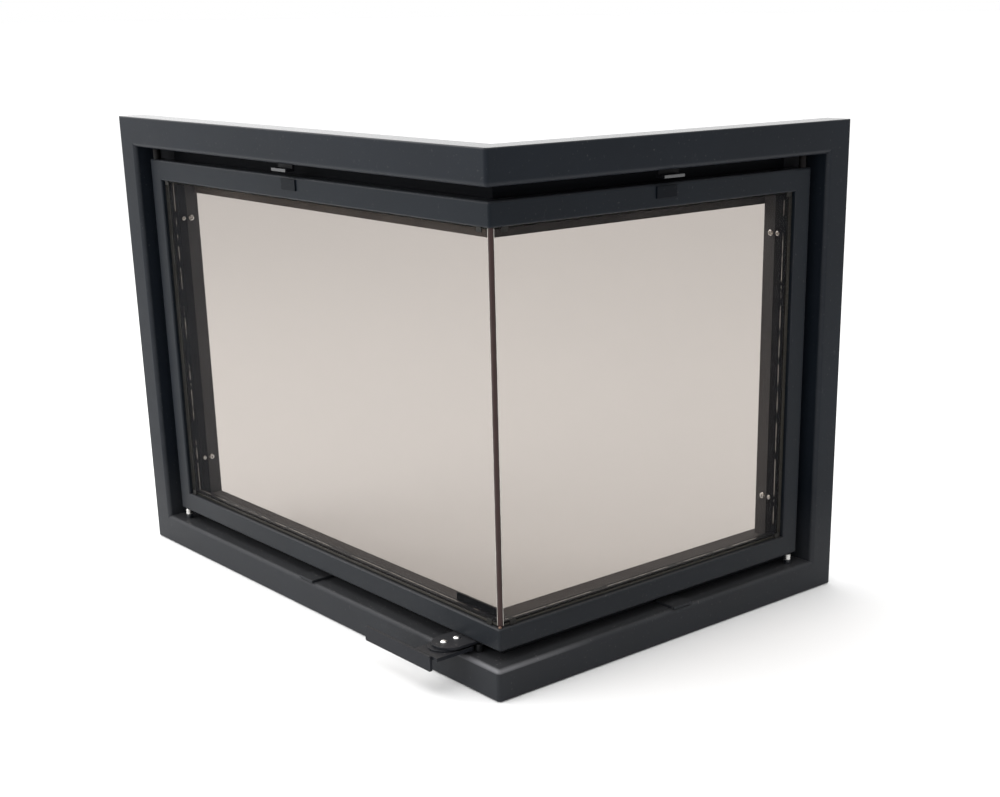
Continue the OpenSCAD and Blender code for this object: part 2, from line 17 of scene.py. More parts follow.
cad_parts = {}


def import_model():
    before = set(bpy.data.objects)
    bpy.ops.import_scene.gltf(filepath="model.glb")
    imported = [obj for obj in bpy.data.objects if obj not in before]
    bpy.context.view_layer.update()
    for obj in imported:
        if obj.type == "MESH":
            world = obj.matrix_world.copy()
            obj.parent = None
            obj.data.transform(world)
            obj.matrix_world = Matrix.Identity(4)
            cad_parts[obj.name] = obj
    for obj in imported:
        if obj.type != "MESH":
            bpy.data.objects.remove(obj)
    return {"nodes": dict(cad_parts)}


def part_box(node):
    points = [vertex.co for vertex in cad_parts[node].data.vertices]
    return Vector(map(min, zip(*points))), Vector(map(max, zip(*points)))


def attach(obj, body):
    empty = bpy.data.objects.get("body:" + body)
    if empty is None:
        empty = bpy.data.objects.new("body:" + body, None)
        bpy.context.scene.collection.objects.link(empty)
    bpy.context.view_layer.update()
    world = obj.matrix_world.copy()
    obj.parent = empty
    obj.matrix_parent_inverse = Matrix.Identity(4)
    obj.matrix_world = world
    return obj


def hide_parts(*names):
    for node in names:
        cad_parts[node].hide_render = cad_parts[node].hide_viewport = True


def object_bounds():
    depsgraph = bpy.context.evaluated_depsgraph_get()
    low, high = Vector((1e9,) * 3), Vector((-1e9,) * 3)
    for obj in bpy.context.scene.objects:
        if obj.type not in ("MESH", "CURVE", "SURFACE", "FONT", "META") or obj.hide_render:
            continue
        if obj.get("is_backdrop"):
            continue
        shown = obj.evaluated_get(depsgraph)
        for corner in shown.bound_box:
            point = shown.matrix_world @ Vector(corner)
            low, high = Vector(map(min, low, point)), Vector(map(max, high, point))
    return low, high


MM = 0.001
PHOTO_SIZE = (1000, 797)
LOG = logging.getLogger("fireplace_door")

Colour = tuple[float, float, float]
Place = tuple[float, float, float]
Feed = object  # a wire, a node socket, or a plain value for a socket


class Body(Enum):
    """Bodies of the mechanism."""

    CASING = "casing"
    LEAF = "leaf"
    HANDLE = "handle"


class Slot(Enum):
    """Material slots."""

    CASING_PAINT = "casing_paint"
    LEAF_PAINT = "leaf_paint"
    LINER_PAINT = "liner_paint"
    HANDLE_PAINT = "handle_paint"
    GUIDE_STEEL = "guide_steel"
    BRIGHT_STEEL = "bright_steel"
    ZINC_PLATE = "zinc_plate"
    GLASS = "glass"
    SILICONE = "silicone"
    SEAL = "glass_fibre_seal"


class Face(Enum):
    """The two glazed faces, named as seen in front of the corner."""

    LEFT = "left"
    RIGHT = "right"

    def place(self, along: float, depth: float, height: float, near: float = 17.5) -> Vector:
        """Carries a point of the face frame into the row frame.

        Args:
            along: Distance from the outer corner.
            depth: Distance behind the casing's front.
            height: Height over the hearth.
            near: Distance from the row frame's origin to either front.

        Returns:
            The point, in metres.
        """
        if self is Face.LEFT:
            return Vector((near - along, depth - near, height)) * MM
        return Vector((near - depth, along - near, height)) * MM

    def direction(self, along: float, depth: float, height: float) -> Vector:
        """Carries a direction of the face frame into the row frame."""
        return (self.place(along, depth, height) - self.place(0, 0, 0)).normalized()


# ------------------------------------------------------------------ node trees


class Wire:
    """A number socket that takes part in Python arithmetic by adding Math nodes."""

    def __init__(self, sheet: "Sheet", socket: bpy.types.NodeSocket) -> None:
        """Keeps the socket and the sheet that it is on."""
        self.sheet = sheet
        self.socket = socket

    def joined(self, operation: str, *values: Feed, clamp: bool = False) -> "Wire":
        """Adds one Math node.

        Args:
            operation: Blender's name of the operation.
            values: What feeds its sockets, in order.
            clamp: Whether the result is kept within 0 and 1.

        Returns:
            The node's result.
        """
        inputs = dict(enumerate(values))
        return self.sheet.wire("ShaderNodeMath", inputs, operation=operation, use_clamp=clamp)

    def __add__(self, other: Feed) -> "Wire":
        """Sum."""
        return self.joined("ADD", self, other)

    def __radd__(self, other: Feed) -> "Wire":
        """Sum with a value on the left."""
        return self.joined("ADD", other, self)

    def __sub__(self, other: Feed) -> "Wire":
        """Difference."""
        return self.joined("SUBTRACT", self, other)

    def __rsub__(self, other: Feed) -> "Wire":
        """Difference from a value on the left."""
        return self.joined("SUBTRACT", other, self)

    def __mul__(self, other: Feed) -> "Wire":
        """Product."""
        return self.joined("MULTIPLY", self, other)

    def __rmul__(self, other: Feed) -> "Wire":
        """Product with a value on the left."""
        return self.joined("MULTIPLY", other, self)

    def __truediv__(self, other: Feed) -> "Wire":
        """Quotient."""
        return self.joined("DIVIDE", self, other)

    def __pow__(self, other: Feed) -> "Wire":
        """Power."""
        return self.joined("POWER", self, other)

    def clamped(self) -> "Wire":
        """The value kept within 0 and 1."""
        return self.joined("ADD", self, 0.0, clamp=True)

    def sine(self) -> "Wire":
        """Sine of the value in radians."""
        return self.joined("SINE", self)

    def distance(self, level: float) -> "Wire":
        """Distance of the value from a level."""
        return self.joined("ABSOLUTE", self - level)

    def over(self, level: float, slope: float) -> "Wire":
        """A mask that rises from 0 to 1 above a level."""
        return ((self - level) * slope).clamped()


class Sheet:
    """A node tree that code fills, with one method that adds any kind of node."""

    def __init__(self, tree: bpy.types.NodeTree) -> None:
        """Empties an existing tree and starts on it."""
        tree.nodes.clear()
        self.tree = tree

    def node(self, kind: str, inputs: dict | None = None, **settings: object) -> bpy.types.Node:
        """Adds a node.

        Args:
            kind: Blender's type name.
            inputs: Wires or plain values for its sockets, by name or number.
            settings: The node's own settings, set first.

        Returns:
            The node.
        """
        made = self.tree.nodes.new(kind)
        for name, value in settings.items():
            setattr(made, name, value)
        for key, value in (inputs or {}).items():
            if isinstance(value, Wire):
                self.tree.links.new(value.socket, made.inputs[key])
            else:
                made.inputs[key].default_value = value
        return made

    def wire(
        self, kind: str, inputs: dict | None = None, output: int | str = 0, **settings: object
    ) -> Wire:
        """Adds a node and returns one of its outputs, with the Args of node."""
        return Wire(self, self.node(kind, inputs, **settings).outputs[output])

    def vector(self, operation: str, inputs: dict, output: int = 0) -> Wire:
        """Adds a Vector Math node and returns one of its outputs."""
        return self.wire("ShaderNodeVectorMath", inputs, output, operation=operation)


class MaterialSheet(Sheet):
    """The node tree of one material, with the patterns that the finishes share."""

    def __init__(self, name: str) -> None:
        """Makes an empty material with that name."""
        self.material = bpy.data.materials.new(name)
        self.material.use_nodes = True
        super().__init__(self.material.node_tree)
        self.spot = self.wire("ShaderNodeTexCoord", output="Object")

    def axis(self, name: str) -> Wire:
        """One coordinate, X, Y or Z, of the spot that is shaded."""
        return self.wire("ShaderNodeSeparateXYZ", {0: self.spot}, name)

    def noise(
        self, scale: float, detail: float = 2.0, roughness: float = 0.5, spot: Wire | None = None
    ) -> Wire:
        """Noise over the object's own coordinates.

        Args:
            scale: Its cells per metre.
            detail: Its octaves.
            roughness: The share of the fine octaves.
            spot: Another place to read it at.

        Returns:
            A value round 0.5.
        """
        inputs = {"Vector": spot or self.spot, "Scale": scale, "Detail": detail, "Roughness": roughness}
        return self.wire("ShaderNodeTexNoise", inputs)

    def drawn(self, scale: Place, detail: float, roughness: float) -> Wire:
        """Noise drawn out along the axes, with cells per metre for each and the Args of noise."""
        return self.noise(1.0, detail, roughness, self.vector("MULTIPLY", {0: self.spot, 1: scale}))

    def mixed(self, share: Feed, first: Feed, second: Feed) -> Wire:
        """Mixes two colours.

        Args:
            share: Share of the second.
            first: Colour, as three numbers or a wire.
            second: Colour, as three numbers or a wire.

        Returns:
            The mixed colour.
        """
        one, two = ((*c, 1.0) if isinstance(c, tuple) else c for c in (first, second))
        return self.wire("ShaderNodeMix", {0: share, 6: one, 7: two}, 2, data_type="RGBA")

    def upward(self) -> Wire:
        """How far a surface faces up, 0 to 1."""
        normal = self.wire("ShaderNodeNewGeometry", output="Normal")
        return self.wire("ShaderNodeSeparateXYZ", {0: normal}, "Z").clamped()

    def grazing(self) -> Wire:
        """How far a surface is seen along itself, 0 to 1."""
        return self.wire("ShaderNodeLayerWeight", {"Blend": 0.5}, "Facing")

    def hairlines(self, scale: float, width: float, area: float) -> Wire:
        """Sparse wandering hairlines.

        Args:
            scale: Cells per metre of the pattern that they follow.
            width: Their share of a cell.
            area: Level above which a region has any.

        Returns:
            A mask.
        """
        line = 1.0 - (self.noise(scale, 1.0).distance(0.5) / width).clamped()
        return line * self.noise(scale * 0.23, 1.0).over(area, 9.0)

    def bump(self, height: Wire, depth: float, strength: float = 0.5) -> Wire:
        """Turns a height of 0 to 1 into a normal, the depth in millimetres."""
        inputs = {"Height": height, "Distance": depth * MM, "Strength": strength}
        return self.wire("ShaderNodeBump", inputs)

    def principled(self, colour: Feed, roughness: Feed, **inputs: Feed) -> Wire:
        """Adds a Principled shader.

        Args:
            colour: Its base colour, as three numbers or a wire.
            roughness: Its roughness.
            inputs: Its other sockets, by name in small letters with underscores.

        Returns:
            The shader.
        """
        sockets = {
            "Base Color": (*colour, 1.0) if isinstance(colour, tuple) else colour,
            "Roughness": roughness,
        }
        titles = {"specular_ior_level": "Specular IOR Level"}
        for name, value in inputs.items():
            sockets[titles.get(name, name.replace("_", " ").title())] = value
        return self.wire("ShaderNodeBsdfPrincipled", sockets)

    def finished(self, surface: Wire) -> bpy.types.Material:
        """Ends the tree in its surface and returns the material."""
        self.node("ShaderNodeOutputMaterial", {"Surface": surface})
        return self.material


# ------------------------------------------------------------------ finishes


@dataclass(frozen=True)
class SatinPaint:
    """Heat resistant satin paint on steel, with dust, specks, hairlines, rubbed edges and a painted
    highlight near the front corner's foot.

    Attributes:
        name: Name of the material.
        colour: Colour of the paint.
        dust_colour: Colour of what lies on it.
        roughness: Roughness between the marks.
        shine: Specular level.
        glaze: Gloss of faces that look up and are seen at a grazing angle.
        dust: Share of dust on faces that look up.
        specks: Strength of single specks.
        rubbed: How far rubbed edges lighten.
        relief: Depth of the paint's texture, in millimetres.
        corner_highlight: How far from the foot of the front corner the rounded edges get a painted
            highlight, in metres.
        pale_line: Depth behind the casing's front of a broken pale line, in millimetres, or 0.
        foot_dust: Share of dust at the door's foot.
        shift: Moves the pattern, so that two paints differ.
    """

    name: str
    colour: Colour
    dust_colour: Colour = (0.30, 0.28, 0.26)
    roughness: float = 0.42
    shine: float = 0.11
    glaze: float = 1.3
    dust: float = 0.04
    specks: float = 0.25
    rubbed: float = 0.07
    relief: float = 0.05
    corner_highlight: float = 0.0
    pale_line: float = 0.0
    foot_dust: float = 0.0
    shift: float = 0.0

    def material(self) -> bpy.types.Material:
        """Builds the material."""
        sheet = MaterialSheet(self.name)
        sheet.spot = sheet.vector("ADD", {0: sheet.spot, 1: (self.shift,) * 3})
        cloud = sheet.noise(6.5, 5.0, 0.6)
        smear = sheet.drawn((22.0, 22.0, 60.0), 3.0, 0.55)
        grain = sheet.noise(1300.0, 2.0)
        fleck = sheet.noise(330.0, 1.0).over(0.70, 14.0) * self.specks
        hair = sheet.hairlines(60.0, 0.006, 0.62)
        up = sheet.upward() ** 2.0
        lying = (up * self.dust * (0.4 + cloud * 1.2) + fleck * (0.25 + 0.75 * up)).clamped()
        edge = sheet.wire("ShaderNodeAttribute", output="Fac", attribute_name="edge_wear")
        worn_and_highlight = (edge * self.rubbed * (0.35 + smear)).clamped()
        # Painted highlight: near the foot of the front corner the rounded edges are mixed towards the
        # rubbed metal colour and made smoother.
        if self.corner_highlight:
            worn_and_highlight = (worn_and_highlight + self._corner(sheet) * (0.45 + smear * 0.6)).clamped()
        if self.foot_dust:
            lying = (lying + self._foot(sheet) * self.foot_dust).clamped()
        dark = tuple(c * 0.86 for c in self.colour)
        light = tuple(c * 1.16 for c in self.colour)
        rubbed_and_highlight_metal, pale_line = (0.16, 0.16, 0.17), (0.95, 0.93, 0.88)
        tone = sheet.mixed(cloud.over(0.3, 2.5), dark, light)
        tone = sheet.mixed((worn_and_highlight + hair * 0.10).clamped(), tone, rubbed_and_highlight_metal)
        tone = sheet.mixed(lying, tone, self.dust_colour)
        if self.pale_line:
            tone = sheet.mixed(self._line(sheet), tone, pale_line)
        rough = self.roughness + (cloud - 0.5) * 0.16 + (smear - 0.5) * 0.10 + lying * 0.25
        rough = rough - worn_and_highlight * 0.35 - hair * 0.08
        height = grain * 0.7 + sheet.noise(420.0, 2.0) * 0.5 - hair * 0.3
        shader = sheet.principled(
            tone,
            rough.clamped(),
            specular_ior_level=self.shine,
            coat_weight=(up * self.glaze * sheet.grazing() ** 6.0).clamped(),
            coat_roughness=0.16,
            normal=sheet.bump(height, self.relief),
        )
        return sheet.finished(shader)

    def _line(self, sheet: MaterialSheet) -> Wire:
        """Mask of the broken pale line on both faces."""
        depth = Face.LEFT.place(0, self.pale_line, 0).y
        half_width = 0.0007
        left = (sheet.axis("Y").distance(depth) / half_width).clamped()
        right = (sheet.axis("X").distance(-depth) / half_width).clamped()
        return (1.0 - left * right) * sheet.noise(38.0, 3.0, 0.7).over(0.44, 12.0)

    def _foot(self, sheet: MaterialSheet) -> Wire:
        """Mask of the door's foot, which fades upwards."""
        fade_top, fade = 0.12, 0.08
        return ((fade_top + self.shift - sheet.axis("Z")) / fade).clamped()

    def _corner(self, sheet: MaterialSheet) -> Wire:
        """Mask of the painted highlight on the rounded edges near the foot of the front corner."""
        foot = tuple(Face.LEFT.place(0, 0, 35.0))
        away = sheet.vector("DISTANCE", {0: sheet.spot, 1: foot}, 1)
        up = sheet.upward()
        return (1.0 - away / self.corner_highlight).clamped() * (up * (1.0 - up) * 4.0)


@dataclass(frozen=True)
class BareSteel:
    """Bare or plated steel: fine scratches, tarnish and turning marks.

    Attributes:
        name: Name of the material.
        colour: Colour of the clean metal.
        tarnish: Colour of its dull regions.
        roughness: Roughness of the clean metal.
        dull: Level of the noise above which it is dull.
        painted_to: Height up to which it is painted over, in metres.
    """

    name: str
    colour: Colour
    tarnish: Colour
    roughness: float = 0.26
    dull: float = 0.52
    painted_to: float = 0.0

    def material(self) -> bpy.types.Material:
        """Builds the material."""
        sheet = MaterialSheet(self.name)
        patch = sheet.noise(160.0, 4.0, 0.6).over(self.dull, 4.0)
        streak = sheet.drawn((900.0, 900.0, 4200.0), 2.0, 0.5)
        pit = sheet.noise(1500.0, 1.0).over(0.66, 8.0)
        metal = sheet.mixed((patch * 0.7 + pit * 0.3).clamped(), self.colour, self.tarnish)
        rough = self.roughness + patch * 0.22 + (streak - 0.5) * 0.2 + pit * 0.1
        height = streak * 0.5 + sheet.noise(700.0, 2.0) * 0.3 - pit * 0.2
        bare = ((sheet.axis("Z") - self.painted_to) * 1500.0 + patch).clamped()
        paint = (0.010, 0.011, 0.014)
        shader = sheet.principled(
            sheet.mixed(bare, paint, metal),
            rough.clamped(),
            metallic=bare - patch * 0.35 * bare,
            normal=sheet.bump(height, 0.02),
        )
        return sheet.finished(shader)


@dataclass(frozen=True)
class WornTab:
    """Painted guide tab whose front edge is rubbed to bare steel.

    Attributes:
        name: Name of the material.
        paint: Colour of the paint.
        steel: Colour of the bare edge.
        stain: Colour of the streaks on the bare edge.
        depth: How far the bare edge reaches back, in millimetres.
    """

    name: str
    paint: Colour = (0.004, 0.004, 0.005)
    steel: Colour = (0.105, 0.108, 0.112)
    stain: Colour = (0.20, 0.19, 0.18)
    depth: float = 0.9

    def material(self) -> bpy.types.Material:
        """Builds the material."""
        sheet = MaterialSheet(self.name)
        front = Face.LEFT.place(0, self.depth, 0).y
        out_left, out_right = front - sheet.axis("Y"), sheet.axis("X") + front
        nearest = out_left.joined("MAXIMUM", out_left, out_right)
        ragged = sheet.noise(420.0, 3.0)
        bare = (nearest * 1400.0 + ragged * 1.6 - 0.45).clamped()
        streak = sheet.drawn((300.0, 300.0, 5000.0), 2.0, 0.5)
        tone = sheet.mixed(bare, self.paint, self.steel)
        shader = sheet.principled(
            sheet.mixed(bare * (streak - 0.35).clamped(), tone, self.stain),
            (0.42 - bare * 0.08 + (streak - 0.5) * 0.2).clamped(),
            metallic=bare,
            specular_ior_level=0.08,
            normal=sheet.bump(ragged * 0.5 + streak * 0.5, 0.04),
        )
        return sheet.finished(shader)


@dataclass(frozen=True)
class CeramicPane:
    """Clear fireproof glass with a slight warm tint and a faint film.

    Attributes:
        name: Name of the material.
        tint: What one surface lets through.
        film_colour: Colour of the film on it.
        film: Share of the film.
        sheen: Colour of what it mirrors.
        slanted: Share that one surface mirrors when it is looked at along its face.
    """

    name: str
    tint: Colour = (0.675, 0.647, 0.622)
    film_colour: Colour = (0.36, 0.38, 0.43)
    film: float = 0.016
    sheen: Colour = (0.96, 0.97, 0.96)
    slanted: float = 0.75

    def material(self) -> bpy.types.Material:
        """Builds the material."""
        sheet = MaterialSheet(self.name)
        wiped = sheet.drawn((7.0, 7.0, 16.0), 4.0, 0.6)
        fine = sheet.noise(520.0, 2.0).over(0.68, 10.0)
        film = (self.film * (0.45 + wiped * 1.1) + fine * 0.002).clamped()
        clear = sheet.wire("ShaderNodeBsdfTransparent", {0: (*self.tint, 1.0)})
        dull = sheet.principled(self.film_colour, 0.75, specular_ior_level=0.0)
        mirror = sheet.principled(self.sheen, (0.015 + wiped * 0.03).clamped(), metallic=1.0)
        gloss = self.slanted * ((sheet.grazing() - 0.48) / 0.52).clamped() ** 3.0
        body = sheet.wire("ShaderNodeMixShader", {0: film, 1: clear, 2: dull})
        return sheet.finished(sheet.wire("ShaderNodeMixShader", {0: gloss, 1: body, 2: mirror}))


@dataclass(frozen=True)
class GroundEdge:
    """Ground edge of a pane with chips: the pale copy with a yellow green cast is a painted highlight,
    the dark copy painted shade.
    """

    name: str
    colour: Colour = (0.56, 0.54, 0.50)
    deep: Colour = (0.30, 0.29, 0.26)

    def material(self) -> bpy.types.Material:
        """Builds the material."""
        sheet = MaterialSheet(self.name)
        chip = sheet.noise(900.0, 3.0, 0.6)
        shader = sheet.principled(
            sheet.mixed(chip.over(0.5, 3.0), self.colour, self.deep),
            (0.30 + chip * 0.35).clamped(),
            specular_ior_level=0.5,
            normal=sheet.bump(chip, 0.08, 0.6),
        )
        return sheet.finished(shader)


@dataclass(frozen=True)
class Silicone:
    """Cured silicone with tooling marks."""

    name: str
    colour: Colour
    roughness: float = 0.34

    def material(self) -> bpy.types.Material:
        """Builds the material."""
        sheet = MaterialSheet(self.name)
        drag = sheet.drawn((500.0, 500.0, 45.0), 3.0, 0.5)
        speck = sheet.noise(900.0, 1.0).over(0.68, 9.0)
        light = tuple(min(1.0, c * 1.5) for c in self.colour)
        pale = (drag.over(0.42, 3.0) * 0.6 + speck * 0.3).clamped()
        shader = sheet.principled(
            sheet.mixed(pale, self.colour, light),
            (self.roughness + (drag - 0.5) * 0.3 + speck * 0.2).clamped(),
            specular_ior_level=0.25,
            normal=sheet.bump(drag + speck * 0.2, 0.12),
        )
        return sheet.finished(shader)


@dataclass(frozen=True)
class GlassFibre:
    """Braided glass fibre seal, graphite grey with paler broken filaments."""

    name: str
    colour: Colour = (0.012, 0.012, 0.012)
    filament: Colour = (0.055, 0.052, 0.048)

    def material(self) -> bpy.types.Material:
        """Builds the material."""
        sheet = MaterialSheet(self.name)
        fibre = sheet.noise(2400.0, 3.0, 0.7)
        pale = fibre.over(0.56, 5.0) * (0.2 + sheet.noise(30.0, 3.0) * 0.8)
        shader = sheet.principled(
            sheet.mixed(pale, self.colour, self.filament),
            (0.78 + (fibre - 0.5) * 0.3).clamped(),
            specular_ior_level=0.25,
            normal=sheet.bump(fibre, 0.12, 0.8),
        )
        return sheet.finished(shader)


@dataclass(frozen=True)
class StudioFloor:
    """Plain pale floor with a trace of unevenness."""

    name: str
    colour: Colour = (0.86, 0.86, 0.86)

    def material(self) -> bpy.types.Material:
        """Builds the material."""
        sheet = MaterialSheet(self.name)
        cloud = sheet.noise(0.8, 3.0)
        tone = sheet.mixed(cloud, self.colour, tuple(c * 1.02 for c in self.colour))
        rough = (0.85 + cloud * 0.1).clamped()
        return sheet.finished(sheet.principled(tone, rough, specular_ior_level=0.1))


class Palette:
    """The door's finishes, each built once."""

    def __init__(self) -> None:
        """Builds every material of the door."""
        black = (0.0056, 0.0080, 0.0116)
        # The casing's paint carries a painted highlight on the rounded edges near the front corner's
        # foot.
        self.casing = SatinPaint(
            "casing_satin_black", (0.0068, 0.0092, 0.0132), corner_highlight=0.13, foot_dust=0.04
        ).material()
        self.leaf = SatinPaint(
            "leaf_satin_black", black, roughness=0.36, foot_dust=0.03, shift=3.7
        ).material()
        # The glazing strips' paint carries a broken near-white line 25.9 mm behind the casing's front.
        self.strip = SatinPaint("strip_satin_black", black, roughness=0.36, pale_line=25.9).material()
        matt = SatinPaint("stop_bar_black", (0.0200, 0.0205, 0.0230), glaze=0.0)
        self.stop = replace(
            matt, dust_colour=(0.08, 0.07, 0.065), roughness=0.55, shine=0.06, shift=7.1
        ).material()
        # Painted shade: the top stop bars get a darker copy of the stop bar paint, for the shade in the
        # gap under the top rail.
        self.painted_shade_stop = replace(
            matt,
            name="stop_bar_painted_shade",
            colour=(0.0048, 0.0054, 0.0070),
            dust_colour=(0.05, 0.045, 0.042),
            roughness=0.6,
            shine=0.04,
            shift=2.9,
        ).material()
        liner = replace(
            matt,
            name="liner_dusty_black",
            colour=(0.130, 0.131, 0.136),
            roughness=0.6,
            shine=0.0,
            dust=0.16,
            relief=0.004,
            shift=9.3,
        )
        self.liner = liner.material()
        # Painted reflection: the left air deflector gets a paler copy of the liner paint, for the bright
        # floor that the left pane mirrors in front of it; the right one keeps the liner paint.
        painted_reflection_deflector = replace(liner, name="deflector_pale_ash", colour=(0.225, 0.215, 0.205), shift=8.4)
        self.deflector = {Face.LEFT: painted_reflection_deflector.material(), Face.RIGHT: self.liner}
        self.latch = SatinPaint(
            "latch_satin_black", (0.0125, 0.0135, 0.0165), roughness=0.36, rubbed=0.5, shift=5.9
        ).material()
        self.corner_plate = SatinPaint(
            "corner_plate_black",
            (0.0022, 0.0028, 0.0026),
            roughness=0.38,
            shine=0.03,
            dust=0.01,
            shift=1.3,
        ).material()
        # Painted shadow: the wear plates are real plates, but their paint is darker than the leaf's to
        # stand in for the guide tabs' shadow on the top rail.
        self.wear_plate = SatinPaint(
            "wear_plate_painted_shadow", (0.0022, 0.0036, 0.0060), shine=0.08, dust=0.02, shift=2.9
        ).material()
        self.keeper = SatinPaint(
            "keeper_black", (0.0060, 0.0065, 0.0075), shine=0.2, dust=0.03, shift=4.1
        ).material()
        self.tab = WornTab("guide_tab_bare_edge").material()
        self.pin = BareSteel(
            "pin_turned_steel", (0.62, 0.61, 0.59), (0.12, 0.11, 0.10), 0.28, painted_to=0.0405
        ).material()
        # Painted shade: the upper pins and studs get near-black steel, for the shade under the top rail.
        self.shaded_pin = BareSteel(
            "pin_painted_shade_steel", (0.012, 0.011, 0.011), (0.006, 0.006, 0.006), 0.6, dull=0.44
        ).material()
        self.zinc = BareSteel("zinc_plate", (0.86, 0.86, 0.85), (0.26, 0.255, 0.24), 0.13, 0.6).material()
        self.nut = BareSteel("dull_zinc", (0.40, 0.395, 0.38), (0.16, 0.15, 0.14), 0.38).material()
        self.clip = BareSteel(
            "clip_dull_steel", (0.034, 0.033, 0.031), (0.012, 0.012, 0.011), 0.50, dull=0.42
        ).material()
        self.weld = BareSteel(
            "weld_oxide", (0.09, 0.088, 0.09), (0.03, 0.03, 0.032), 0.46, dull=0.4
        ).material()
        self.pane = CeramicPane("ceramic_glass").material()
        # Painted highlight and painted shade: the pane edges that face the corner get a pale copy of the
        # edge finish for the light they catch, and the other edges a dark copy.
        self.lit_glass_edge = GroundEdge("glass_edge_painted_highlight").material()
        self.shaded_glass_edge = GroundEdge(
            "glass_edge_painted_shade", (0.040, 0.042, 0.034), (0.015, 0.017, 0.013)
        ).material()
        self.silicone = Silicone("brown_silicone", (0.024, 0.0105, 0.0092)).material()
        self.glue = Silicone("cured_adhesive", (0.13, 0.080, 0.058)).material()
        self.fibre = GlassFibre("graphite_glass_fibre").material()
        self.tape = GlassFibre("frayed_glass_fibre", (0.030, 0.029, 0.027), (0.30, 0.29, 0.27)).material()


# ------------------------------------------------------------------ meshes


def node_box(node: str) -> tuple[Vector, Vector]:
    """Low and high corner of a CAD node, in millimetres."""
    low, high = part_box(node)
    return low / MM, high / MM


def placed_object(name: str, data: bpy.types.ID) -> bpy.types.Object:
    """Makes an object and puts it in the scene."""
    thing = bpy.data.objects.new(name, data)
    bpy.context.scene.collection.objects.link(thing)
    return thing


@dataclass(frozen=True)
class DoorSizes:
    """Main sizes of the door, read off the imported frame.

    Attributes:
        near: Distance from the frame's origin to either front.
        lengths: Length of each face.
        height: Height of the casing.
        tube: Side of the casing's tube.
        leaf_front: Depth of the leaf's front.
        leaf_back: Depth of the leaf's back.
        leaf_end: Distance from a face's end to the leaf.
        clear_end: Distance from a face's end to the leaf's clear opening.
        leaf_bottom: Lower edge of the leaf.
        leaf_top: Upper edge of the leaf.
        leaf_width: Width of the leaf's rails.
        stop_low: Lower edge of the stop bars.
        jamb_end: Distance from a face's end to its jamb.
    """

    near: float
    lengths: dict[Face, float]
    height: float
    tube: float
    leaf_front: float
    leaf_back: float
    leaf_end: float
    clear_end: float
    leaf_bottom: float
    leaf_top: float
    leaf_width: float
    stop_low: float
    jamb_end: float

    @classmethod
    def read(cls) -> "DoorSizes":
        """Measures the CAD nodes and returns the sizes."""
        low, high = node_box("casing_stile_left")
        near = (high.x - low.x) / 2
        rail_low, rail_high = node_box("leaf_bottom_rail_left")
        stop_low, stop_high = node_box("stop_bar_end_left")
        return cls(
            near=near,
            lengths={Face.LEFT: near - low.x, Face.RIGHT: node_box("casing_stile_right")[1].y + near},
            height=high.z,
            tube=high.x - low.x,
            leaf_front=rail_low.y + near,
            leaf_back=rail_high.y + near,
            leaf_end=node_box("hinge_block_lower")[0].x - low.x,
            clear_end=rail_low.x - low.x,
            leaf_bottom=rail_low.z,
            leaf_top=node_box("leaf_top_rail_left")[1].z,
            leaf_width=rail_high.z - rail_low.z,
            stop_low=stop_low.z,
            jamb_end=stop_high.x - low.x,
        )


@dataclass(frozen=True)
class TubeOutline:
    """Outline of a tube with round edges, across the frame and back.

    Attributes:
        width: Size across the frame, from its outer edge inwards.
        front: Depth of its front.
        back: Depth of its back.
        radius: Radius of the edges on the opening's side.
        outer_radius: Radius of the edges away from the opening.
        steps: Steps in each edge.
    """

    width: float
    front: float
    back: float
    radius: float
    outer_radius: float
    steps: int = 8

    def points(self) -> list[tuple[float, float, float]]:
        """Returns the outline as (rise, depth, wear), where wear peaks on the round edges."""
        r, outer = self.radius, self.outer_radius
        centres = [
            (outer, self.front + outer, outer, math.pi),
            (self.width - r, self.front + r, r, 1.5 * math.pi),
            (self.width - r, self.back - r, r, 0.0),
            (outer, self.back - outer, outer, 0.5 * math.pi),
        ]
        outline = []
        for rise, depth, radius, start in centres:
            for step in range(self.steps + 1):
                turn = start + 0.5 * math.pi * step / self.steps
                wear = math.sin(math.pi * step / self.steps)
                outline.append((rise + radius * math.cos(turn), depth + radius * math.sin(turn), wear))
        return outline


def closed_mesh(
    name: str, verts: Iterable[Sequence[float]], faces: Iterable[Sequence[int]], merged: bool = True
) -> bpy.types.Mesh:
    """Makes a mesh whose faces look outwards.

    Args:
        name: Its name.
        verts: Its corners, in metres.
        faces: Its faces, as corner numbers.
        merged: Whether corners at one place are merged.

    Returns:
        The mesh.
    """
    mesh = bpy.data.meshes.new(name)
    mesh.from_pydata([tuple(v) for v in verts], [], [tuple(f) for f in faces])
    form = bmesh.new()
    form.from_mesh(mesh)
    if merged:
        bmesh.ops.remove_doubles(form, verts=form.verts, dist=1e-7)
    bmesh.ops.recalc_face_normals(form, faces=form.faces)
    form.to_mesh(mesh)
    form.free()
    return mesh


def swept(name: str, rings: Sequence[Sequence[Vector]], wear: Sequence[float]) -> bpy.types.Mesh:
    """Joins rings of corners into one closed skin.

    Args:
        name: Name of the mesh.
        rings: Rings with the same number of corners.
        wear: Edge wear of each corner of a ring.

    Returns:
        The mesh, with the wear as an attribute.
    """
    count = len(rings[0])
    faces = []
    for base in range(0, (len(rings) - 1) * count, count):
        for corner in range(count):
            after = (corner + 1) % count
            faces.append((base + corner, base + after, base + count + after, base + count + corner))
    faces.append(tuple(range(count)))
    faces.append(tuple(range((len(rings) - 1) * count, len(rings) * count)))
    mesh = closed_mesh(name, [corner for ring in rings for corner in ring], faces, merged=False)
    attribute = mesh.attributes.new("edge_wear", "FLOAT", "POINT")
    attribute.data.foreach_set("value", list(wear) * len(rings))
    return mesh


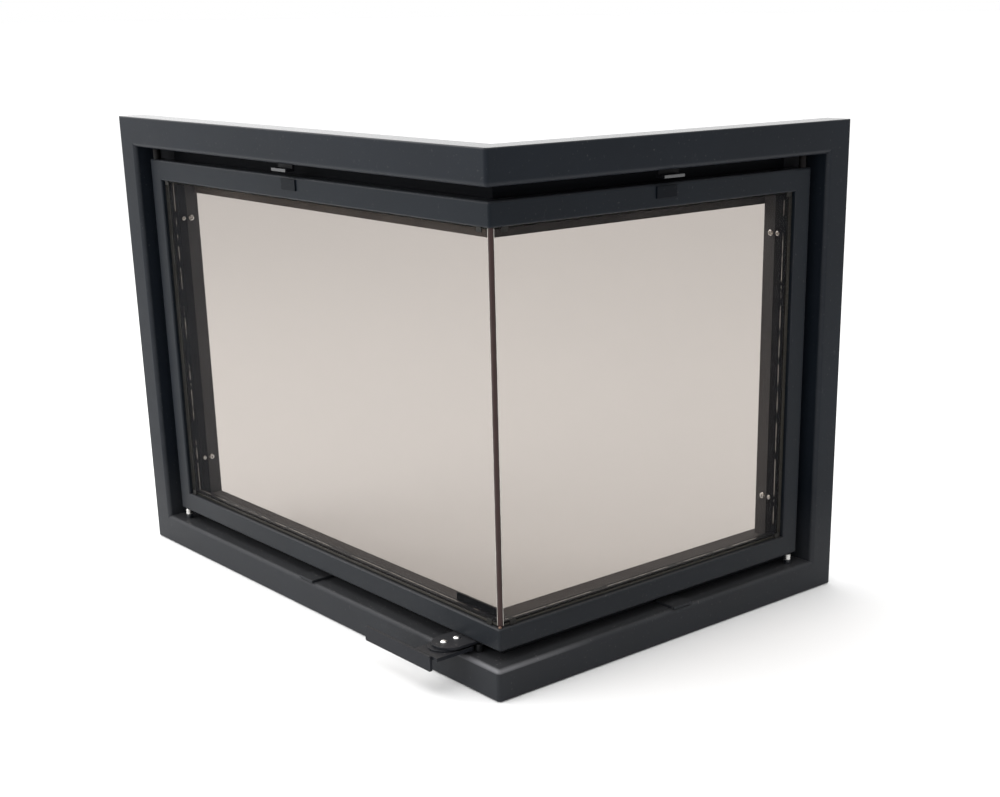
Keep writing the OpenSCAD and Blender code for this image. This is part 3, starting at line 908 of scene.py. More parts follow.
def node_copy(node: str) -> bpy.types.Mesh:
    """Copies a CAD node's shape into a clean mesh of merged flat faces.

    Args:
        node: Its name.

    Returns:
        The mesh.
    """
    form = bmesh.new()
    form.from_mesh(FRAME["nodes"][node].data)
    bmesh.ops.remove_doubles(form, verts=form.verts, dist=2e-6)
    flat = math.radians(0.4)
    bmesh.ops.dissolve_limit(form, angle_limit=flat, verts=form.verts, edges=form.edges)
    form.verts.ensure_lookup_table()
    verts = [v.co.copy() for v in form.verts]
    faces = [[v.index for v in f.verts] for f in form.faces]
    form.free()
    return closed_mesh(node, verts, faces)


def lathed(name: str, profile: Sequence[tuple[float, ...]], segments: int = 36) -> bpy.types.Mesh:
    """Turns a profile about the Z axis, with some rings pressed to a hexagon.

    Args:
        name: Name of the mesh.
        profile: (radius, height) or (radius, height, share of hexagon), from one pole to the other.
        segments: Corners of a ring; a multiple of six.

    Returns:
        A closed mesh, in metres.
    """
    verts, rings = [], []
    for radius, height, *pressed in profile:
        hexagon = pressed[0] if pressed else 0.0
        ring = []
        for step in range(segments if radius else 1):
            turn = math.tau * step / segments
            flat = math.cos(math.pi / 6) / math.cos(turn % (math.pi / 3) - math.pi / 6)
            reach = radius * (1 - hexagon + hexagon * flat)
            ring.append(len(verts))
            verts.append(Vector((reach * math.cos(turn), reach * math.sin(turn), height)) * MM)
        rings.append(ring)
    faces = []
    for one, two in zip(rings, rings[1:]):
        for step in range(segments):
            after = (step + 1) % segments
            if len(one) == 1:
                faces.append((one[0], two[after], two[step]))
            elif len(two) == 1:
                faces.append((one[step], one[after], two[0]))
            else:
                faces.append((one[step], one[after], two[after], two[step]))
    return closed_mesh(name, verts, faces)


def evaluated(piece: bpy.types.Object) -> bpy.types.Mesh:
    """Applies a piece's modifiers.

    Args:
        piece: The object, in the scene.

    Returns:
        The resulting mesh, which the piece now has without modifiers.
    """
    graph = bpy.context.evaluated_depsgraph_get()
    mesh = bpy.data.meshes.new_from_object(
        piece.evaluated_get(graph), preserve_all_data_layers=True, depsgraph=graph
    )
    piece.modifiers.clear()
    piece.data = mesh
    return mesh


@dataclass(frozen=True)
class Edging:
    """How a mesh's edges are broken and shaded.

    Attributes:
        width: Width of the bevel, or 0 for none.
        segments: Steps in the bevel.
        angle: Angle above which an edge is an edge, in degrees.
        flat: Whether every face is shaded flat, as on glass.
    """

    width: float = 0.0
    segments: int = 3
    angle: float = 32.0
    flat: bool = False

    def shape(self, piece: bpy.types.Object) -> None:
        """Applies the bevel and the shading to a piece."""
        piece.data.shade_smooth()
        if self.width:
            bevel = piece.modifiers.new("broken_edges", "BEVEL")
            bevel.width = self.width * MM
            bevel.segments = self.segments
            bevel.limit_method = "ANGLE"
            bevel.angle_limit = math.radians(self.angle)
            bevel.miter_outer = "MITER_ARC"
        else:
            piece.data.set_sharp_from_angle(angle=math.radians(self.angle))
        if self.flat:
            evaluated(piece).shade_flat()
            return
        weighted = piece.modifiers.new("weighted_normals", "WEIGHTED_NORMAL")
        weighted.keep_sharp = not self.width
        evaluated(piece)


@dataclass
class Bench:
    """Where the meshes of one body become pieces of the door.

    Attributes:
        body: The body that the pieces move with.
        made: How many were made.
    """

    body: Body
    made: int = 0

    def piece(
        self,
        name: str,
        mesh: bpy.types.Mesh,
        finishes: Sequence[bpy.types.Material],
        slot: Slot,
        stands_for: Sequence[str],
        edging: Edging,
    ) -> bpy.types.Object:
        """Makes a piece, finishes its edges and ties it to the frame.

        Args:
            name: Name of the piece.
            mesh: Its mesh, in place.
            finishes: Its materials.
            slot: Its material slot.
            stands_for: CAD nodes that it stands for.
            edging: How its edges are finished.

        Returns:
            The piece.
        """
        piece = placed_object(name, mesh)
        edging.shape(piece)
        piece.data.name = name
        for material in finishes:
            piece.data.materials.append(material)
        self.tie(piece, slot, stands_for)
        return piece

    def tie(self, piece: bpy.types.Object, slot: Slot, stands_for: Sequence[str] = ()) -> None:
        """Ties a finished object to the body and hides the CAD nodes that it stands for, with the Args of
        piece; the slot is not used.
        """
        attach(piece, self.body.value)
        if stands_for:
            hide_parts(*stands_for)
        self.made += 1
        LOG.info("%s: %d faces on %s", piece.name, len(piece.data.polygons), self.body.value)

    def from_node(self, node: str, finish: bpy.types.Material, slot: Slot, width: float) -> None:
        """Makes a piece in the shape of a CAD node with its edges broken.

        Args:
            node: The CAD node.
            finish: Its material.
            slot: Its material slot.
            width: Width of the broken edges, or 0 where the node has its own round edges.
        """
        self.piece(f"{node}_piece", node_copy(node), [finish], slot, [node], Edging(width))


# ------------------------------------------------------------------ geometry nodes


class GeometrySheet(Sheet):
    """A Geometry Nodes tree with named inputs, run once on a guide mesh."""

    def __init__(self, name: str, **inputs: str) -> None:
        """Starts a tree.

        Args:
            name: Its name.
            inputs: Kinds of its inputs by name, between the guide and the finish.
        """
        super().__init__(bpy.data.node_groups.new(name, "GeometryNodeTree"))
        face = self.tree.interface
        face.new_socket("Geometry", in_out="OUTPUT", socket_type="NodeSocketGeometry")
        for title, kind in {"Guide": "Geometry", **inputs, "Finish": "Material"}.items():
            face.new_socket(title, in_out="INPUT", socket_type=f"NodeSocket{kind}")
        self.given = self.node("NodeGroupInput")

    def value(self, title: str) -> Wire:
        """One of the tree's inputs."""
        return Wire(self, self.given.outputs[title])

    def between(self, low: float, high: float) -> Wire:
        """A random number for each instance, from the tree's seed."""
        inputs = {2: low, 3: high, "Seed": self.value("Seed")}
        return self.wire("FunctionNodeRandomValue", inputs, 1)

    def evenly(self, curve: Wire, step: str) -> Wire:
        """A curve with points at the distance that one of the tree's inputs gives."""
        inputs = {"Curve": curve, "Length": self.value(step)}
        return self.wire("GeometryNodeResampleCurve", inputs, mode="LENGTH")

    def end(self, geometry: Wire) -> None:
        """Ends the tree: real geometry, smooth shading and the finish."""
        real = self.wire("GeometryNodeRealizeInstances", {0: geometry})
        smooth = self.wire("GeometryNodeSetShadeSmooth", {"Geometry": real})
        inputs = {"Geometry": smooth, "Material": self.value("Finish")}
        self.node("NodeGroupOutput", {"Geometry": self.wire("GeometryNodeSetMaterial", inputs)})

    def run(self, name: str, guide: bpy.types.Mesh, **values: object) -> bpy.types.Object:
        """Runs the tree on a guide mesh.

        Args:
            name: Name of the object that holds the result.
            guide: Points or lines to work along.
            values: A value for each named input.

        Returns:
            An object with the resulting plain mesh.
        """
        holder = placed_object(name, guide)
        modifier = holder.modifiers.new(name, "NODES")
        modifier.node_group = self.tree
        for item in self.tree.interface.items_tree:
            if item.in_out == "INPUT" and item.name in values:
                modifier[item.identifier] = values[item.name]
        evaluated(holder).name = name
        return holder


def line_guide(name: str, runs: Iterable[Sequence[Vector]]) -> bpy.types.Mesh:
    """Makes a mesh of loose lines for a tree to follow.

    Args:
        name: Name of the mesh.
        runs: Lines, each a list of points in metres.

    Returns:
        The mesh.
    """
    verts, edges = [], []
    for run in runs:
        edges += [(len(verts) + i, len(verts) + i + 1) for i in range(len(run) - 1)]
        verts += [tuple(point) for point in run]
    mesh = bpy.data.meshes.new(name)
    mesh.from_pydata(verts, edges, [])
    return mesh


class FastenerTree:
    """Sets one turned part on every seat, facing as the seat does."""

    def __init__(self) -> None:
        """Builds the tree."""
        sheet = GeometrySheet("fasteners_on_seats", Part="Object", Seed="Int")
        part = sheet.wire("GeometryNodeObjectInfo", {"Object": sheet.value("Part")}, "Geometry")
        facing = sheet.wire(
            "GeometryNodeInputNamedAttribute", {"Name": "facing"}, data_type="FLOAT_VECTOR"
        )
        aligned = sheet.wire("FunctionNodeAlignRotationToVector", {"Vector": facing}, axis="Z")
        spin = sheet.wire(
            "FunctionNodeAxisAngleToRotation",
            {"Axis": (0.0, 0.0, 1.0), "Angle": sheet.between(0.0, math.tau)},
        )
        turned = sheet.wire(
            "FunctionNodeRotateRotation",
            {"Rotation": aligned, "Rotate By": spin},
            rotation_space="LOCAL",
        )
        seats = {"Points": sheet.value("Guide"), "Instance": part, "Rotation": turned}
        sheet.end(sheet.wire("GeometryNodeInstanceOnPoints", seats))
        self.sheet = sheet

    def fit(
        self,
        name: str,
        part: bpy.types.Mesh,
        seats: Sequence[tuple[Vector, Vector]],
        finish: bpy.types.Material,
        seed: int,
    ) -> bpy.types.Object:
        """Sets the part on its seats.

        Args:
            name: Name of the piece.
            part: Mesh of one part, standing on Z.
            seats: Place and facing of each one.
            finish: Its material.
            seed: Seed of the turn that each one stopped at.

        Returns:
            The object with all of them.
        """
        part.shade_smooth()
        part.set_sharp_from_angle(angle=math.radians(30))
        pattern = placed_object(f"{name}_pattern", part)
        guide = line_guide(f"{name}_seats", [[place] for place, _ in seats])
        facing = guide.attributes.new("facing", "FLOAT_VECTOR", "POINT")
        facing.data.foreach_set("vector", [c for _, way in seats for c in way])
        made = self.sheet.run(name, guide, Part=pattern, Seed=seed, Finish=finish)
        bpy.data.objects.remove(pattern)
        return made


class WeldTree:
    """Lays overlapping beads along lines, as a weld's ripples."""

    def __init__(self) -> None:
        """Builds the tree."""
        sheet = GeometrySheet("weld_ripples", Pitch="Float", Width="Float", Seed="Int")
        line = sheet.wire("GeometryNodeMeshToCurve", {"Mesh": sheet.value("Guide")})
        tangent = sheet.wire("GeometryNodeInputTangent")
        size = sheet.between(0.84, 1.12) * sheet.value("Width") * 0.5
        inputs = {
            "Points": sheet.evenly(line, "Pitch"),
            "Instance": sheet.wire(
                "GeometryNodeMeshUVSphere", {"Segments": 10, "Rings": 5, "Radius": 1.0}
            ),
            "Rotation": sheet.wire("FunctionNodeAlignRotationToVector", {"Vector": tangent}, axis="X"),
            "Scale": sheet.vector("SCALE", {0: (0.62, 1.0, 1.0), "Scale": size}),
        }
        sheet.end(sheet.wire("GeometryNodeInstanceOnPoints", inputs))
        self.sheet = sheet

    def lay(
        self,
        name: str,
        runs: Sequence[Sequence[Vector]],
        width: float,
        finish: bpy.types.Material,
        seed: int,
    ) -> bpy.types.Object:
        """Lays welds of one width, with ripples at 0.45 of it.

        Args:
            name: Name of the piece.
            runs: The lines to follow.
            width: Width of the bead.
            finish: Its material.
            seed: Seed of the ripples' sizes.

        Returns:
            The object with all of them.
        """
        guide = line_guide(f"{name}_lines", runs)
        pitch = width * 0.45 * MM
        return self.sheet.run(name, guide, Pitch=pitch, Width=width * MM, Seed=seed, Finish=finish)


class BraidTree:
    """Sweeps a braided rope along a line and presses it flat."""

    def __init__(self) -> None:
        """Builds the tree."""
        numbers = dict.fromkeys(("Width", "Pitch", "Relief", "Bend", "Step"), "Float")
        sheet = GeometrySheet("pressed_braid", **numbers, Pressed="Vector", Moved="Vector")
        self.sheet = sheet
        line = sheet.wire("GeometryNodeMeshToCurve", {"Mesh": sheet.value("Guide")})
        corners = {"Curve": line, "Radius": sheet.value("Bend"), "Count": 5}
        bent = sheet.wire("GeometryNodeFilletCurve", corners, mode="POLY")
        circle = {"Resolution": 14, "Radius": sheet.value("Width") * 0.5}
        ring = sheet.wire("GeometryNodeCurvePrimitiveCircle", circle)
        rope = {
            "Curve": self._marked(sheet.evenly(bent, "Step"), "run", "Length"),
            "Profile Curve": self._marked(ring, "turn", "Factor"),
            "Fill Caps": True,
        }
        skin = sheet.wire("GeometryNodeCurveToMesh", rope)
        run = self._read("run") * math.tau / sheet.value("Pitch")
        turn = self._read("turn") * (math.tau * 3)
        weave = (run + turn).sine() * (run - turn).sine() * sheet.value("Relief")
        rise = {0: sheet.wire("GeometryNodeInputNormal"), "Scale": weave - sheet.value("Relief")}
        out = sheet.vector("SCALE", rise)
        woven = sheet.wire("GeometryNodeSetPosition", {"Geometry": skin, "Offset": out})
        spot = sheet.wire("GeometryNodeInputPosition")
        press = {0: spot, 1: sheet.value("Pressed"), 2: sheet.value("Moved")}
        flat = sheet.vector("MULTIPLY_ADD", press)
        sheet.end(sheet.wire("GeometryNodeSetPosition", {"Geometry": woven, "Position": flat}))

    def _marked(self, curve: Wire, name: str, output: str) -> Wire:
        """Stores a curve's own parameter on it and returns the curve."""
        parameter = self.sheet.wire("GeometryNodeSplineParameter", output=output)
        return self.sheet.wire(
            "GeometryNodeStoreNamedAttribute",
            {"Geometry": curve, "Name": name, "Value": parameter},
            data_type="FLOAT",
            domain="POINT",
        )

    def _read(self, name: str) -> Wire:
        """Reads a stored parameter."""
        return self.sheet.wire("GeometryNodeInputNamedAttribute", {"Name": name}, data_type="FLOAT")

    def lay(
        self,
        name: str,
        face: Face,
        run: Sequence[Place],
        size: tuple[float, float],
        pitch: float,
        finish: bpy.types.Material,
    ) -> bpy.types.Object:
        """Lays one braid on a face.

        Args:
            name: Name of the piece.
            face: The face that it lies on.
            run: Its centreline in the face frame, at one depth.
            size: Its width and its pressed thickness.
            pitch: Length of one repeat of the braid.
            finish: Its material.

        Returns:
            The object.
        """
        width, thickness = size
        share = thickness / width
        axis = 1 if face is Face.LEFT else 0
        pressed, moved = [1.0, 1.0, 1.0], [0.0, 0.0, 0.0]
        pressed[axis] = share
        moved[axis] = face.place(*run[0])[axis] * (1 - share)
        return self.sheet.run(
            name,
            line_guide(f"{name}_line", [[face.place(*point) for point in run]]),
            Width=width * MM,
            Pitch=pitch * MM,
            Relief=width * 0.02 * MM,
            Bend=width * 0.9 * MM,
            Step=pitch * 0.25 * MM,
            Pressed=pressed,
            Moved=moved,
            Finish=finish,
        )


# ------------------------------------------------------------------ the door


@dataclass(frozen=True)
class Shop:
    """What every sub-assembly builds with.

    Attributes:
        sizes: Sizes of the door.
        palette: Its materials.
        benches: Where the pieces of each body are made.
        fasteners: Sets turned parts on their seats.
        welds: Lays weld beads.
        braids: Lays braided seals.
    """

    sizes: DoorSizes
    palette: Palette
    benches: dict[Body, Bench]
    fasteners: FastenerTree
    welds: WeldTree
    braids: BraidTree

    def fit_rivet(self, node: str, shank: float, tail: float, body: Body, seed: int) -> None:
        """Makes the piece of a rivet that the CAD model has as a plain one.

        Args:
            node: The CAD node.
            shank: Diameter of the shank.
            tail: Diameter of the closed end.
            body: The body that it moves with.
            seed: Seed of the turn that it stopped at.
        """
        head, rise = 8.0, 2.2
        low, high = node_box(node)
        seat = Vector(((low.x + high.x) / 2, (low.y + high.y) / 2, high.z - rise)) * MM
        part = rivet(head, rise, shank, seat.z / MM - low.z, tail)
        seats = [(seat, Vector((0, 0, 1)))]
        made = self.fasteners.fit(f"{node}_piece", part, seats, self.palette.zinc, seed)
        self.benches[body].tie(made, Slot.ZINC_PLATE, [node])


@dataclass(frozen=True)
class TubeFrame:
    """One frame of square tube round both faces, mitred or butted at its posts.

    Attributes:
        outline: Outline of its tube.
        end: Distance of its outer edge from a face's end.
        bottom: Its lower edge.
        top: Its upper edge.
        corner_radius: Radius of its ground corner edge.
        mitred: Whether rails and posts meet in a mitre; if not, rails stop at the opening.
        corner_steps: Steps in half of the corner edge.
    """

    outline: TubeOutline
    end: float
    bottom: float
    top: float
    corner_radius: float
    mitred: bool
    corner_steps: int = 6

    def build(self, shop: Shop, body: Body, paint: bpy.types.Material, slot: Slot) -> None:
        """Builds the six tubes, named after their body.

        Args:
            shop: What they are built with.
            body: The body that they move with.
            paint: Their paint.
            slot: Their material slot.
        """
        for face, length in shop.sizes.lengths.items():
            tubes = {
                "top_rail": self._rail(face, length - self.end, True),
                "bottom_rail": self._rail(face, length - self.end, False),
                "stile": self._post(face, length - self.end),
            }
            for kind, rings in tubes.items():
                node = f"{body.value}_{kind}_{face.value}"
                mesh = swept(kind, rings, [wear for _, _, wear in self.outline.points()])
                shop.benches[body].piece(f"{node}_piece", mesh, [paint], slot, [node], Edging())

    def _rail(self, face: Face, far: float, upper: bool) -> list[list[Vector]]:
        """Rings of one rail.

        Args:
            face: Its face.
            far: Where its outer end is along the face.
            upper: Whether it is the top rail.

        Returns:
            The rings, from the corner on.
        """
        points = self.outline.points()
        butt = far - self.outline.width
        places = [
            [(*self._corner(depth, step), rise) for rise, depth, _ in points]
            for step in range(self.corner_steps, -1, -1)
        ]
        places.append([(far - rise if self.mitred else butt, depth, rise) for rise, depth, _ in points])
        return [
            [face.place(u, v, self.top - rise if upper else self.bottom + rise) for u, v, rise in ring]
            for ring in places
        ]

    def _corner(self, depth: float, step: int) -> tuple[float, float]:
        """Where an outline point lies on the ground corner, as (along, depth)."""
        inward = depth - self.outline.front
        if inward >= self.corner_radius:
            return depth + 0.02 * (self.corner_steps - step), depth
        turn = 0.25 * math.pi * step / self.corner_steps
        reach = self.corner_radius - inward
        centre = self.outline.front + self.corner_radius
        return centre - reach * math.sin(turn), centre - reach * math.cos(turn)

    def _post(self, face: Face, far: float) -> list[list[Vector]]:
        """Rings of the upright at a face's end, with the Args of _rail."""
        rings = []
        for edge, way in ((self.bottom, 1), (self.top, -1)):
            ring = []
            for rise, depth, _ in self.outline.points():
                inset = rise if self.mitred else self.outline.width
                ring.append(face.place(far - rise, depth, edge + way * inset))
            rings.append(ring)
        return rings


@dataclass
class Casing:
    """The fixed casing: tube frame, pins, studs, guide tabs and their welds.

    Attributes:
        shop: What it is built with.
        radius: Radius of the tube's edges at the gap.
        outer_radius: Radius of the tube's outer edges.
        corner_radius: Radius of the ground corner edge.
        tab_edge: Broken edge of the guide tabs.
        pin_chamfer: Chamfer of the pins' ends.
        weld: Width of the welds.
        weld_length: Length of a stitch weld.
        first_weld: Where the first stitch starts.
        mitre_weld: Where the welds of the mitres start and end, from the outer edges.
        weld_seed: Seed of the welds' ripples.
    """

    shop: Shop
    radius: float = 5.0
    outer_radius: float = 1.8
    corner_radius: float = 4.5
    tab_edge: float = 0.35
    pin_chamfer: float = 0.6
    weld: float = 3.2
    weld_length: float = 24.0
    first_weld: float = 90.0
    mitre_weld: tuple[float, float] = (2.0, 13.0)
    weld_seed: int = 11

    def build(self) -> None:
        """Builds and dresses the casing."""
        sizes, palette, bench = self.shop.sizes, self.shop.palette, self.shop.benches[Body.CASING]
        outline = TubeOutline(sizes.tube, 0.0, sizes.tube, self.radius, self.outer_radius)
        frame = TubeFrame(outline, 0.0, 0.0, sizes.height, self.corner_radius, True)
        frame.build(self.shop, Body.CASING, palette.casing, Slot.CASING_PAINT)
        for level, finish in (("top", palette.tab), ("bottom", palette.casing)):
            for face in Face:
                node = f"guide_tab_{level}_{face.value}"
                bench.from_node(node, finish, Slot.GUIDE_STEEL, self.tab_edge)
        for kind in ("hinge_pin", "rest_stud"):
            # the upper pins and studs take the near-black steel, which is painted shade
            for level, finish in (("lower", palette.pin), ("upper", palette.shaded_pin)):
                bench.from_node(f"{kind}_{level}", finish, Slot.BRIGHT_STEEL, self.pin_chamfer)
        bench.from_node("latch_keeper_stud", palette.keeper, Slot.BRIGHT_STEEL, self.pin_chamfer)
        for face, length in sizes.lengths.items():
            runs = [[face.place(*point) for point in run] for run in self._weld_runs(length)]
            name = f"casing_welds_{face.value}"
            beads = self.shop.welds.lay(name, runs, self.weld, palette.weld, self.weld_seed)
            bench.tie(beads, Slot.CASING_PAINT)

    def _weld_runs(self, length: float) -> list[list[Place]]:
        """Lines of the welds on the back of one face: mitres, and stitches at the stop bars."""
        sizes = self.shop.sizes
        runs = []
        back = sizes.tube + 0.3
        seam = sizes.stop_low - 0.4
        long_pitch, side_pitch, side_count = 118.0, 155.0, 3
        for edge, way in ((0.0, 1), (sizes.height, -1)):
            runs.append([(length - inset, back, edge + way * inset) for inset in self.mitre_weld])
            for stitch in range(int((length - 150) / long_pitch)):
                start = self.first_weld + stitch * long_pitch
                z = edge + way * seam
                runs.append([(start, back, z), (start + self.weld_length, back, z)])
        for stitch in range(side_count):
            start = self.first_weld + stitch * side_pitch
            side = length - seam
            runs.append([(side, back, start), (side, back, start + self.weld_length)])
        return runs


@dataclass
class Surround:
    """The stop bars, jambs, sill, soffit and air deflector behind the leaf.

    Attributes:
        shop: What it is built with.
        bar_edge: Broken edge of the stop bars.
        plate_edge: Broken edge of the plates.
        bolt: Diameters of the jamb bolts' heads, shanks and sockets.
        screw: Diameters of the stop screws' heads, shanks and sockets.
        nut: Width across corners, bore and thickness of the nuts.
        jamb: Thickness of the jambs, which the nuts sit behind.
    """

    shop: Shop
    bar_edge: float = 0.5
    plate_edge: float = 0.35
    bolt: tuple[float, float, float] = (8.0, 5.0, 2.5)
    screw: tuple[float, float, float] = (6.0, 4.0, 2.0)
    nut: tuple[float, float, float] = (9.0, 5.1, 4.0)
    jamb: float = 4.0

    def build(self) -> None:
        """Builds and dresses the surround."""
        bench, palette = self.shop.benches[Body.CASING], self.shop.palette
        for face in Face:
            rows = (
                # the top stop bars take the darker copy, which is painted shade
                ("stop_bar_top", palette.painted_shade_stop, self.bar_edge),
                ("stop_bar_bottom", palette.stop, self.bar_edge),
                ("stop_bar_end", palette.stop, self.bar_edge),
                ("jamb_plate", palette.liner, self.plate_edge),
                ("sill_plate", palette.liner, self.plate_edge),
                ("soffit_plate", palette.liner, self.plate_edge),
                # the left air deflector takes the paler copy, which is painted reflection
                ("air_deflector", palette.deflector[face], self.plate_edge),
            )
            for part, finish, edge in rows:
                bench.from_node(f"{part}_{face.value}", finish, Slot.LINER_PAINT, edge)
        bolt_depth = self._depth("jamb_bolts", self.bolt)
        screw_depth = self._depth("stop_screws", self.screw)
        rows = (
            ("jamb_bolts", socket_head(*self.bolt), palette.zinc, 3, bolt_depth, 0),
            ("jamb_nuts", hexagon_nut(*self.nut), palette.nut, 5, bolt_depth, self.jamb),
            ("stop_screws", socket_head(*self.screw), palette.zinc, 8, screw_depth, 0),
        )
        for node, part, finish, seed, depth, behind in rows:
            seats = self._seats(depth, behind)
            made = self.shop.fasteners.fit(f"{node}_piece", part, seats, finish, seed)
            bench.tie(made, Slot.ZINC_PLATE, [node])

    def _depth(self, node: str, screw: tuple[float, float, float]) -> float:
        """Depth of a row of such screws, read off the frame."""
        return node_box(node)[0].y + self.shop.sizes.near + screw[0] / 2

    def _seats(self, depth: float, behind: float) -> list[tuple[Vector, Vector]]:
        """Seats on both jambs.

        Args:
            depth: Depth of their axis.
            behind: Distance behind the jamb's face; what sits behind looks outwards.

        Returns:
            Place and facing of each one.
        """
        sizes = self.shop.sizes
        low, high = node_box("jamb_nuts")
        reach = self.nut[0] / 2
        seats = []
        for face, length in sizes.lengths.items():
            jamb = length - sizes.jamb_end
            facing = face.direction(1 if behind else -1, 0, 0)
            for z in (low.z + reach, high.z - reach):
                seats.append((face.place(jamb + behind, depth, z), facing))
        return seats


def socket_head(head: float, shank: float, drive: float, length: float = 10.0) -> bpy.types.Mesh:
    """Makes a button head screw that looks along Z, its seat at Z 0.

    Args:
        head: Diameter of the head.
        shank: Diameter of the shank.
        drive: Width of the hexagonal socket.
        length: Length of the shank, below the seat.

    Returns:
        The mesh.
    """
    top = head * 0.3
    rim = head / 2
    socket = drive / 2 / math.cos(math.pi / 6)
    dome = ((1.0, 0.30), (0.955, 0.52), (0.86, 0.74), (0.74, 0.90), (0.60, 0.985), (0.50, 1.0))
    profile = [
        (0.0, -length),
        (shank / 2 - 0.5, -length),
        (shank / 2, -length + 0.5),
        (shank / 2, 0.0),
        (rim - 0.15, 0.0),
        (rim, 0.15),
        *((rim * reach, top * rise) for reach, rise in dome),
        (socket, top * 0.96, 1.0),
        (socket, top * 0.30, 1.0),
        (0.0, top * 0.18),
    ]
    return lathed("button_screw", profile)


def hexagon_nut(width: float, bore: float, thickness: float) -> bpy.types.Mesh:
    """Makes a chamfered nut that stands on Z, with its thread's end in it.

    Args:
        width: Width across corners.
        bore: Diameter of the threaded end.
        thickness: Its thickness.

    Returns:
        The mesh.
    """
    corner = width / 2
    thread = bore / 2
    profile = [
        (0.0, 0.0),
        (corner * 0.87, 0.0),
        (corner, 0.45, 1.0),
        (corner, thickness - 0.45, 1.0),
        (corner * 0.87, thickness),
        (thread + 0.35, thickness),
        (thread, thickness - 0.35),
        (thread - 0.1, thickness - 0.9),
        (0.0, thickness - 0.9),
    ]
    return lathed("hexagon_nut", profile)


def rivet(head: float, rise: float, shank: float, length: float, tail: float) -> bpy.types.Mesh:
    """Makes a domed rivet that looks along Z, its seat at Z 0.

    Args:
        head: Diameter of the head.
        rise: Height of the head.
        shank: Diameter of the shank.
        length: Length below the seat.
        tail: Diameter of the closed end.

    Returns:
        The mesh.
    """
    rim = head / 2
    grip = -length + 0.8
    profile = [(0.0, -length)]
    if tail > shank:
        profile += [(tail / 2 - 0.25, -length), (tail / 2, -length + 0.25), (tail / 2, grip)]
    else:
        profile += [(shank / 2, -length)]
    profile += [(shank / 2, grip), (shank / 2, 0.0), (rim * 0.97, 0.0)]
    steps = 9
    for step in range(steps):
        turn = 0.5 * math.pi * (step + 0.35) / steps
        profile.append((rim * math.cos(turn), rise * math.sin(turn)))
    profile.append((0.0, rise))
    return lathed("domed_rivet", profile)


